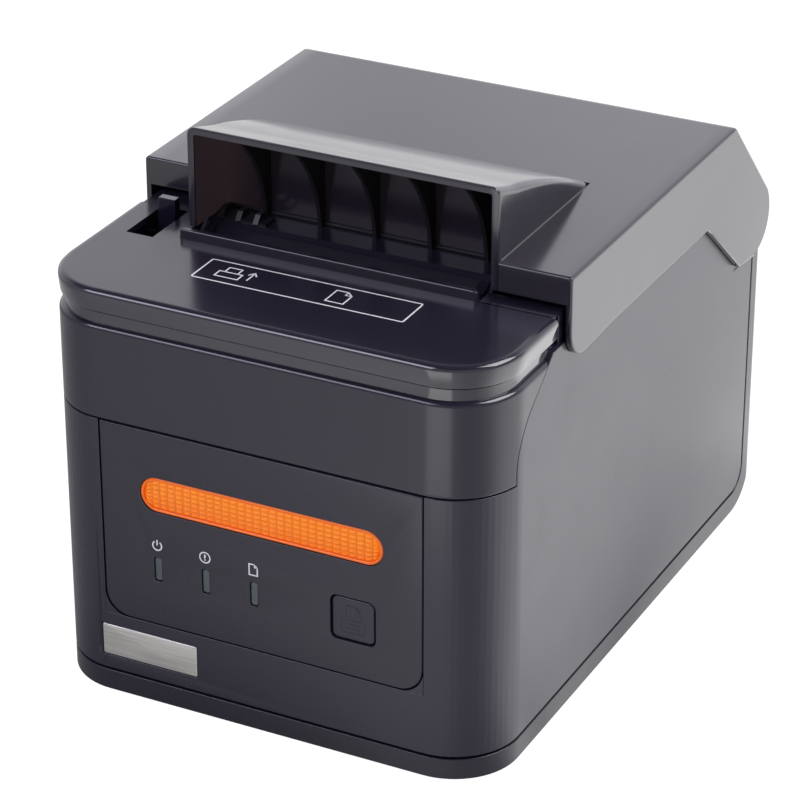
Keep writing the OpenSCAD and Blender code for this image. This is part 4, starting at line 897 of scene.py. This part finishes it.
def roof_line(inset, start, end=-90, count=22):
    """The roof in side view from y = start: flat, a 4 mm corner, the slope, then the hinge lobe's circle down
    to an end angle. The inset moves the whole line inwards."""
    flat = [(y, ROOF - inset) for y in [*np.linspace(start, HEEL[0] - 0.5, 11), HEEL[0]]]
    corner = arc(HEEL, HEEL_RADIUS - inset, 90, SLOPE_LEAN, 7)[1:]
    lobe = arc(HINGE, LOBE - inset, SLOPE_LEAN, end, count)
    shares = np.array([0.02, 0.2, 0.4, 0.6, 0.8, 0.98])[:, None]
    return np.concatenate([flat, corner, corner[-1] + (lobe[0] - corner[-1]) * shares, lobe])


def strip(left, right, start, rounded=()):
    """A roof strip as a wall between two skins. rounded says on which sides the roof rounds into a side wall.
    The strip ends a little way down the lobe, so that the case's hinge barrel has room when the cover is
    open."""
    rounding = quarter(ROOF_ROUND)
    across = [(left + i, d) for i, d in rounding] if "left" in rounded else [(left, 0.0)]
    flat_end = right - (ROOF_ROUND if "right" in rounded else 0.0)
    across += [(x, 0.0) for x in np.linspace(across[-1][0], flat_end, 6)[1:]]
    if "right" in rounded:
        across += [(right - i, d) for i, d in rounding[::-1][1:]]
    low, high = left + 0.6 * ("left" in rounded), right - 0.6 * ("right" in rounded)
    outer = np.array([lift(roof_line(d, start, LOBE_END, 5), x, "x") for x, d in across])
    under = roof_line(SKIN, start, LOBE_END, 5)
    inner = np.array([lift(under, min(max(x, low), high), "x") for x, _ in across])
    return walls(outer, inner, grid_faces(*outer.shape[:2]))


roof_strips = [strip(HOOD_RIGHT, SIDE, RIGHT_FRONT + 0.7, ["right"]),
               strip(-SIDE, HOOD_LEFT, LEFT_FRONT + 0.7, ["left"]),
               strip(HOOD_LEFT + 0.01, HOOD_RIGHT - 0.01, MIDDLE_FRONT)]
print(len(roof_strips), "roof strips")

# %% [markdown]
# The walls meet the roof strips in three roundings: 1 mm along the roof's
# side, 0.7 mm along its front and 0.45 mm up the corner between them. The
# front walls are set off by a few hundredths of a millimetre, because two
# faces in one plane would flicker.

# %% Splash cover: its walls
WALL, WALL_ROUND, FRONT_ROUND = 1.7, 0.45, 0.7
WALL_TOP = 138.2


def side_outline(front):
    """The side wall in side view: the roof line 1 mm down, then from the hinge lobe along the skirt's foot,
    round its lower front corner and up. Returns the points and how many belong to the roof line."""
    roof = roof_line(1.0, front + 1.2)
    foot = [(183.5, 89.6), (171.5, 90.8), (148, 110.8), (143.5, 114.0), (110, 114.27)]
    if front == LEFT_FRONT:
        foot += [(front, 114.3)]
    else:
        foot += [(75, 114.45), *arc((front + 9.8, 123.5), 9.8, 266, 180, 12)]
    return np.concatenate([roof, foot, [(front, WALL_TOP)]]), len(roof)


def front_wall(inner_end, sign, y):
    """The short upright wall in front of a roof strip. Its top edge is rounded by 0.7 mm; towards the side wall
    it sinks with the roof's 1 mm rounding and draws back with the wall's upright 0.45 mm rounding."""
    def section(drop, back):
        """The wall in side view, sunk by drop and with its face drawn back."""
        r = FRONT_ROUND - back
        return np.concatenate([[(y + SKIN, 131.1), (y + back, 131.1)],
                               arc((y + FRONT_ROUND, ROOF - drop - r), r, 180, 90, 6),
                               [(y + SKIN, ROOF - drop - 0.02)]])

    rings = [lift(section(0, 0), inner_end, "x")]
    for i, d in quarter(ROOF_ROUND, 9)[::-1]:
        back = WALL_ROUND - math.sqrt(WALL_ROUND ** 2 - max(WALL_ROUND - i, 0) ** 2)
        rings += [lift(section(d, back), sign * (SIDE - 0.02 - i), "x")]
    return tube(rings)


def side_wall(sign, front):
    """A flat wall 1.7 mm thick. Its foot and front edge are rounded by 0.45 mm along the normals of its
    outline; its top edge stays put, because the roof rounds into it."""
    shape, fixed = side_outline(front)
    after = np.roll(shape, -1, 0)
    along = after - np.roll(shape, 1, 0)
    turned = np.sign((shape[:, 0] * after[:, 1] - shape[:, 1] * after[:, 0]).sum())
    flat = turned * np.stack([-along[:, 1], along[:, 0]], -1) / np.linalg.norm(along, axis=1)[:, None]
    inwards = flat.copy()
    inwards[:fixed] = 0
    rings = [lift(shape, sign * (SIDE - WALL), "x")]
    rings += [lift(shape + inwards * i, sign * (SIDE - d), "x") for i, d in quarter(WALL_ROUND)]
    rings += [lift(shape + inwards * WALL_ROUND + flat * 0.5, sign * SIDE, "x")]
    return tube(rings)


splash_parts = roof_strips + [front_wall(HOOD_RIGHT, 1, RIGHT_FRONT - 0.03),
                              front_wall(HOOD_LEFT, -1, LEFT_FRONT - 0.03)]
splash_parts += [side_wall(1, RIGHT_FRONT), side_wall(-1, LEFT_FRONT)]
splash_parts += [rod(HINGE, 8.0, low, high) for low, high in ((64.3, 71.0), (-71.0, -64.3))]
piece("splash_cover_shell", splash_parts, "smoke_plastic", "top_cover", ["splash_cover"], soften=0.03)

# %% [markdown]
# The hood stands on the splash cover over the paper exit. Its top is a long
# shallow arc that falls away to the rear, and its mouth is open to the front.
# It is a row of arches, one at each y, between an outer and an inner skin.

# %% Hood
MOUTH, HOOD_END, HOOD_SKIN, HOOD_ROUND = 45.2, 107.4, 2.2, 2.4
BACK_WALL = (65.0, 67.2)


def hood_top(y):
    """The higher of a straight fall from the mouth and a circle of 196.3 mm about (13.4, -33.6)."""
    y = np.asarray(y, float)
    arch = -33.6 + np.sqrt(196.3 ** 2 - (y - 13.4) ** 2)
    return np.where(y < 56.2, np.maximum(161.8 - (y - 44.2) * 3.8 / 12, arch), arch)


def hood_arch(y, top, foot, drawn_in, gap):
    """One arch: up the left side, a rounded corner, the top, a corner and down, all moved inwards by a gap."""
    r = min(HOOD_ROUND, top - foot - 0.15)
    bend = max(r - gap, 0.3)
    left, right = HOOD_LEFT + drawn_in + gap, HOOD_RIGHT - drawn_in - gap
    high = top - gap - bend
    side = np.linspace(min(foot, high - 0.05), high, 5)
    up = [(left, z) for z in side] + list(arc((left + bend, high), bend, 180, 90, 7)[1:])
    over = [(x, top - gap) for x in np.linspace(left + bend, right - bend, 12)[1:-1]]
    down = list(arc((right - bend, high), bend, 90, 0, 7)) + [(right, z) for z in side[::-1][1:]]
    return lift(np.array(up + over + down), y, "y")


def hood_shell():
    """A wall between arches and the same arches 2.2 mm inside, drawn in a little at the mouth's rim. Behind the
    back wall the sides end on the roof."""
    ys = np.concatenate([MOUTH + np.array([0.0, 0.15, 0.45, 1.0]), np.linspace(48, BACK_WALL[1], 9),
                         np.linspace(67.3, HOOD_END, 18)])
    nose = np.array([0.55, 0.2, 0.03, 0.0] + [0.0] * 27)
    outer, inner = [], []
    for y, drawn_in in zip(ys, nose):
        top = float(hood_top(y)) - drawn_in
        foot = 131.1 if y <= 67.25 else min(137.8, top - 2.6)
        outer.append(hood_arch(y, top, foot, drawn_in, 0.0))
        inner.append(hood_arch(y, top, foot, drawn_in, HOOD_SKIN - drawn_in))
    outer, inner = np.array(outer), np.array(inner)
    return walls(outer, inner, grid_faces(*outer.shape[:2]))


def roof_bead(x, out, start):
    """The small fillet where a side of the hood meets the roof."""
    profile = [(x, ROOF - 0.1), (x + out, ROOF - 0.1), (x + out * 0.5, ROOF + 0.2), (x, ROOF + 0.45)]
    return prism(profile, start, 103.0, "y")


front_y, back_y = BACK_WALL
back_wall = prism([(front_y, 130.2), (back_y, 130.2), (back_y, float(hood_top(back_y)) - 1.2),
                   (front_y, float(hood_top(front_y)) - 1.2)], HOOD_LEFT + 1.0, HOOD_RIGHT - 1.0)
piece("receipt_hood", [hood_shell(), back_wall, roof_bead(50.5, 0.45, 46.4), roof_bead(-45.9, -0.45, 67.3)],
      "smoke_plastic", "top_cover", ["splash_cover"], soften=0.25)

# %% [markdown]
# Five curved ribs inside the hood guide the receipt and stiffen the mouth.
# They are left matte, so they are a piece of their own with its own finish,
# and so is the thin rubber seal at the foot of the hood's back wall.

# %% Hood ribs and foot seal
RIB_STEP, RIB_HALF = 17.4, 0.6


def hood_rib(x):
    """A rib under the hood: against the hood's top and its back wall, with a hollow front edge on a circle
    of 38.9 mm about (23.6, 128)."""
    under = [(y, float(hood_top(y)) - 1.6) for y in np.linspace(46.6, 66.0, 14)]
    hollow = arc((23.6, 128), 38.9, 3.5, 54.3, 20)
    return prism(np.concatenate([[(66.0, 130.2), (62.44, 130.2)], hollow, under]), x - RIB_HALF, x + RIB_HALF)


piece("hood_ribs", [hood_rib(4 + RIB_STEP * k) for k in range(-2, 3)], "inner_plastic", "top_cover", soften=0.1)
seal = rod((64.7, 130.75), 0.5, HOOD_LEFT + 1.2, HOOD_RIGHT - 1.2, edge=0.1, count=16)
piece("hood_foot_seal", [seal], "foot_rubber", "top_cover")

# %% [markdown]
# The front panel is a flat plate let into the case, with a long slot for the
# light bar, three small windows and a square hole for the feed button. Its
# lower corners are round and the recess's are square, so two small webs fill
# the difference.

# %% Front panel, badge and status windows
PANEL = (-50.35, 27.6, 50.35, 89.2)
BAR_AT, BAR_SIZE = (0.3, 69.5), (76.3, 10.9)
WINDOWS, WINDOW_Z = [-32.8, -17.4, -2.0], 45.7
BUTTON_AT = (29, 45.5)
panel_holes = [(box_about(*BAR_AT, *BAR_SIZE), (BAR_SIZE[1] / 2 - 0.01,) * 4)]
panel_holes += [(box_about(x, WINDOW_Z, 2.5, 7.6), (0.9,) * 4) for x in WINDOWS]
panel_holes += [(box_about(*BUTTON_AT, 14, 14), (2.2,) * 4)]
panel_plate = plate([(PANEL, (7.5, 7.5, 0.3, 0.3))] + panel_holes, 0.06, 3.0, 0.6, 0.35)
piece("control_panel_plate", [panel_plate], "panel_plastic", "case", ["control_panel"])
windows = [pad(box_about(x, WINDOW_Z, 2.4, 7.5), (0.85,) * 4, 0.4, 4.5, 0.5) for x in WINDOWS]
piece("status_windows", windows, "status_tint", "case", ["status_light_pipes"])
badge = pad((-52.1, 13.35, -21.1, 23.25), (0.5,) * 4, 0.12, 1.2, 0.25)
piece("badge_bare_plate", [badge], "brushed_plate", "case", ["badge_plate"])


def corner_web(sign):
    """What is left between the recess's square corner and an arc of 7.8 mm about (42.85, 35.1), 0.3 mm off the
    panel's own corner."""
    bend = arc((42.85, 35.1), 7.8, 0, -78.7, 10)
    shape = np.concatenate([[(50.65, 27.45), (50.65, 35.2)], bend])
    return prism(shape * (sign, 1), 0.0, 3.4, "y")


piece("panel_corner_webs", [corner_web(1), corner_web(-1)], "housing_plastic", "case", soften=0.12)

# %% [markdown]
# The feed button is a square key with a soft crown. A flange behind the panel
# keeps it in, and a stem reaches back to its switch. The crown is a stack of
# rounded squares, each a little smaller and further out than the last.

# %% Feed button
def feed_button_parts():
    """Rounded squares of (inset, depth), a flange and a stem."""
    crown = [(0.0, 4.2)] + [(i, 0.35 + d) for i, d in quarter(0.75, 6)] + [(1.6, 0.31), (3.2, 0.28)]
    rings = [lift(outline(box_about(*BUTTON_AT, 13.2, 13.2), (1.8,) * 4, i), y, "y") for i, y in crown]
    flange = prism(outline(box_about(*BUTTON_AT, 17.2, 17.2), (1.8,) * 4), 3.35, 4.2, "y")
    return [tube(rings), flange, rod(BUTTON_AT, 1.8, 4.0, 5.8, "y")]


piece("feed_button_key", feed_button_parts(), "button_plastic", "feed_key", ["feed_button"])

# %% [markdown]
# The light bar is a smooth amber rim round a field of small pyramids that
# scatter the light. The field is a grid of points, thirty cells by six. Each
# cell's middle stands proud of its corners, and the rows draw together
# towards both ends, where the bar is round.

# %% Light bar
RIM, FACETS_ACROSS, FACETS_UP = 1.05, 30, 6
GROOVE_DEPTH, TIP_RISE, RIDGE_RISE = 1.05, 0.8, 0.02


def light_bar_parts():
    """Cell corners at 1.05 mm deep, middles at 0.25 mm; heights scale with the half circle at each end."""
    half_w, half_h = BAR_SIZE[0] / 2 - RIM, BAR_SIZE[1] / 2 - RIM
    u = np.linspace(-half_w, half_w, 2 * FACETS_ACROSS + 1)
    v = np.linspace(-1, 1, 2 * FACETS_UP + 1)
    beyond = np.maximum(np.abs(u) - (half_w - half_h), 0)
    reach = np.sqrt(np.maximum(half_h ** 2 - beyond ** 2, 0.02))
    x = np.repeat(u[:, None], len(v), 1)
    z = reach[:, None] * v[None, :]
    odd_u, odd_v = np.arange(len(u))[:, None] % 2, np.arange(len(v))[None, :] % 2
    y = GROOVE_DEPTH - TIP_RISE * (odd_u * odd_v) - RIDGE_RISE * ((odd_u + odd_v) * 0.5)
    front = np.stack([BAR_AT[0] + x, y, BAR_AT[1] + z], -1)
    corner = np.arange(front[..., 0].size).reshape(len(u), len(v))
    around = [(0, 0), (1, 0), (2, 0), (2, 1), (2, 2), (1, 2), (0, 2), (0, 1)]
    faces = []
    for i in range(0, 2 * FACETS_ACROSS, 2):
        for j in range(0, 2 * FACETS_UP, 2):
            ring = [corner[i + a, j + b] for a, b in around]
            faces += [(ring[k], ring[(k + 1) % 8], corner[i + 1, j + 1]) for k in range(8)]
    back = front.copy()
    back[..., 1] = 2.4
    return walls(front, back, faces)


def light_bar_rim():
    """A ring round the field: outwards a quarter circle, inwards a step down to the field."""
    box, radius = box_about(*BAR_AT, BAR_SIZE[0] - 0.16, BAR_SIZE[1] - 0.16), BAR_SIZE[1] / 2 - 0.1
    steps = [(0.0, 3.1)] + [(i, 0.22 + d) for i, d in quarter(0.6, 6)]
    steps += [(0.75, 0.22), (0.92, 0.35), (1.0, 0.6), (1.0, 3.1)]
    rings = np.array([lift(outline(box, (radius,) * 4, i, 12), y, "y") for i, y in steps])
    rows, cols = rings.shape[:2]
    index = np.arange(rows * cols).reshape(rows, cols)
    faces = grid_faces(rows, cols, True).tolist()
    faces += [(index[0, k], index[0, (k + 1) % cols], index[-1, (k + 1) % cols], index[-1, k])
              for k in range(cols)]
    return rings.reshape(-1, 3), faces


piece("light_bar_facets", [light_bar_parts()], "amber_lens", "case", ["light_bar_lens"], crisp=4)
piece("light_bar_rim", [light_bar_rim()], "amber_rim", "case", ["light_bar_lens"])

# %% [markdown]
# The release lever is a flat tab that stands up through a slot in the deck.
# It is one outline in side view, as thick as the tab is wide.

# %% Release lever
def lever_parts():
    """The tab's side view: a round boss of 6 mm about its shaft, and a tab that narrows to a blunt top."""
    y, z, neck, top, left, right = 54.0, 82.0, 117.0, 134.0, -60.6, -55.1
    tab = [(y - 4.5, z + 2), (y + 4.5, z + 2), (y + 2.6, neck), (y + 1.6, top), (y - 0.9, top), (y - 2.2, neck)]
    return [prism(tab, left, right), rod((y, z), 6.0, left, right)]


piece("release_lever_tab", lever_parts(), "gloss_black", "latch", ["release_lever"], soften=0.45, steps=3)

# %% [markdown]
# Printed marks are thin strokes laid on the plastic: a line of points is
# given a width on both sides, mitred at its corners, and sunk a little into
# the surface so that its edges stay joined. Ink could be a picture on the
# surface instead, but strokes stay sharp however close one looks.

# %% Strokes
def stroke(points, width, low, high, axis, closed=False):
    """A band of even width along a line of points: each point moves along the mean of its two normals,
    divided by the cosine of half the turn. It lies from low to high along the axis."""
    points = np.asarray(points, float)
    ahead = np.roll(points, -1, 0) - points
    if not closed:
        ahead[-1] = ahead[-2]
    behind = np.roll(ahead, 1, 0)
    if not closed:
        behind[0] = ahead[0]
    normals = [np.stack([-d[:, 1], d[:, 0]], -1) / np.linalg.norm(d, axis=1)[:, None] for d in (ahead, behind)]
    mean = normals[0] + normals[1]
    mean /= np.linalg.norm(mean, axis=1)[:, None]
    mean /= np.maximum((mean * normals[0]).sum(1), 0.4)[:, None]
    left, right = points + mean * width / 2, points - mean * width / 2
    rings = np.stack([lift(left, high, axis), lift(right, high, axis), lift(right, low, axis),
                      lift(left, low, axis)], 1)
    flat, faces = tube(rings, not closed)
    if closed:
        last = len(points) - 1
        faces += [[last * 4 + k, last * 4 + (k + 1) % 4, (k + 1) % 4, k] for k in range(4)]
    return flat, faces


print("a stroke of two points has", len(stroke([(0, 0), (1, 0)], 0.4, 0, 0.1, "z")[0]), "corners")

# %% [markdown]
# The marks are plain pictograms that could stand on any printer. Each is a
# few strokes placed about one point, so a mark is easy to move and to size.

# %% Pictograms
def page_mark(x, z, height, width, *where):
    """A sheet of paper with one corner turned down. where is (low, high, axis) of its strokes."""
    w, h, fold = height * 0.38, height * 0.5, height * 0.26
    edge = [(x - w, z - h), (x + w, z - h), (x + w, z + h - fold), (x + w - fold, z + h), (x - w, z + h)]
    turned = [(x + w - fold, z + h), (x + w - fold, z + h - fold), (x + w, z + h - fold)]
    return [stroke(edge, width, *where, closed=True), stroke(turned, width * 0.8, *where)]


def feed_mark(x, z, width, *where):
    """A sheet that comes up out of a tray: the sheet, its folded corner, the tray's outline and two lines."""
    sheet = [(x - 2.1, z + 0.4), (x - 2.1, z + 4.3), (x + 1.0, z + 4.3), (x + 2.2, z + 3.1), (x + 2.2, z + 0.4)]
    fold = [(x + 1.0, z + 4.3), (x + 1.0, z + 3.1), (x + 2.2, z + 3.1)]
    tray = outline((x - 3.6, z - 4.2, x + 3.6, z - 0.2), (0.8,) * 4, 0, 4)
    lines = [[(x - 2.3, z + d), (x + 2.3, z + d)] for d in (-1.5, -2.8)]
    return [stroke(sheet, width, *where), stroke(fold, width, *where), stroke(tray, width, *where, closed=True),
            *(stroke(line, width, *where) for line in lines)]


def power_mark(x, z, height, width, *where):
    """An open circle with an upright line through its gap."""
    ring = arc((x, z - height * 0.04), height * 0.42, 125, 415, 26)
    return [stroke(ring, width, *where), stroke([(x, z), (x, z + height * 0.5)], width, *where)]


def alert_mark(x, z, height, width, *where):
    """An upright stroke over a dot, in a circle."""
    upright, dot = ([(x, z + height * a), (x, z + height * b)] for a, b in ((0.27, -0.06), (-0.17, -0.28)))
    return [stroke(arc((x, z), height * 0.48, 0, 348, 30), width, *where, closed=True),
            stroke(upright, width * 1.3, *where), stroke(dot, width * 1.3, *where)]


def cover_mark(x, z, size, width, *where):
    """A printer in outline with a sheet above it and an arrow that points up beside it. Each line is points of
    (across, up) as shares of the size."""
    base = [(-0.5, -0.4), (0.5, -0.4), (0.5, 0.05), (-0.5, 0.05)]
    sheet = [(-0.28, 0.05), (-0.28, 0.46), (0.28, 0.46), (0.28, 0.05)]
    arrow = [(0.86, -0.3), (0.86, 0.4)]
    head = [(0.68, 0.16), (0.86, 0.42), (1.04, 0.16)]
    return [stroke(np.array(line) * size + (x, z), width, *where, closed=line is base)
            for line in (base, sheet, arrow, head)]


print("five pictograms")

# %% [markdown]
# Power, attention and paper stand over the three windows, a sheet over a tray
# on the feed button, and on the deck a frame with a printer and a page. The
# marks ride with what they are printed on.

# %% Marks on the panel, the button and the deck
ON_PANEL, ON_BUTTON, ON_DECK = (0.02, 0.5, "y"), (0.25, 0.8, "y"), (128.6, DECK + 0.04, "z")
OVER_WINDOWS, DECK_LABEL = 53.6, (-31, 20.2, 34.2, 32.6)
panel_marks = (power_mark(WINDOWS[0], OVER_WINDOWS, 3.4, 0.42, *ON_PANEL) +
               alert_mark(WINDOWS[1], OVER_WINDOWS, 3.4, 0.38, *ON_PANEL) +
               page_mark(WINDOWS[2], OVER_WINDOWS, 3.4, 0.38, *ON_PANEL))
piece("panel_marks", panel_marks, "print_white", "case")
piece("button_mark", feed_mark(*BUTTON_AT, 0.3, *ON_BUTTON), "print_dark", "feed_key")
deck_marks = [stroke(outline(DECK_LABEL, (0.5,) * 4, 0, 3), 0.45, *ON_DECK, closed=True)]
deck_marks += cover_mark(-22, 26.4, 7.2, 0.42, *ON_DECK) + page_mark(12, 26.4, 7.2, 0.42, *ON_DECK)
piece("deck_marks", deck_marks, "print_white", "cutter_cover")

# %% [markdown]
# The pieces are meant to stay inside the imported model's box. So its box before the first piece and its box
# now are printed side by side, with how far it has grown.

piece_box = [list(corner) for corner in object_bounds()]
low_growth = [c - p for c, p in zip(cad_box[0], piece_box[0])]
high_growth = [p - c for c, p in zip(cad_box[1], piece_box[1])]
grown = max(low_growth + high_growth)
print("CAD box", cad_box, "with the pieces", piece_box, f"grown by {grown * 1000:.3f} mm")
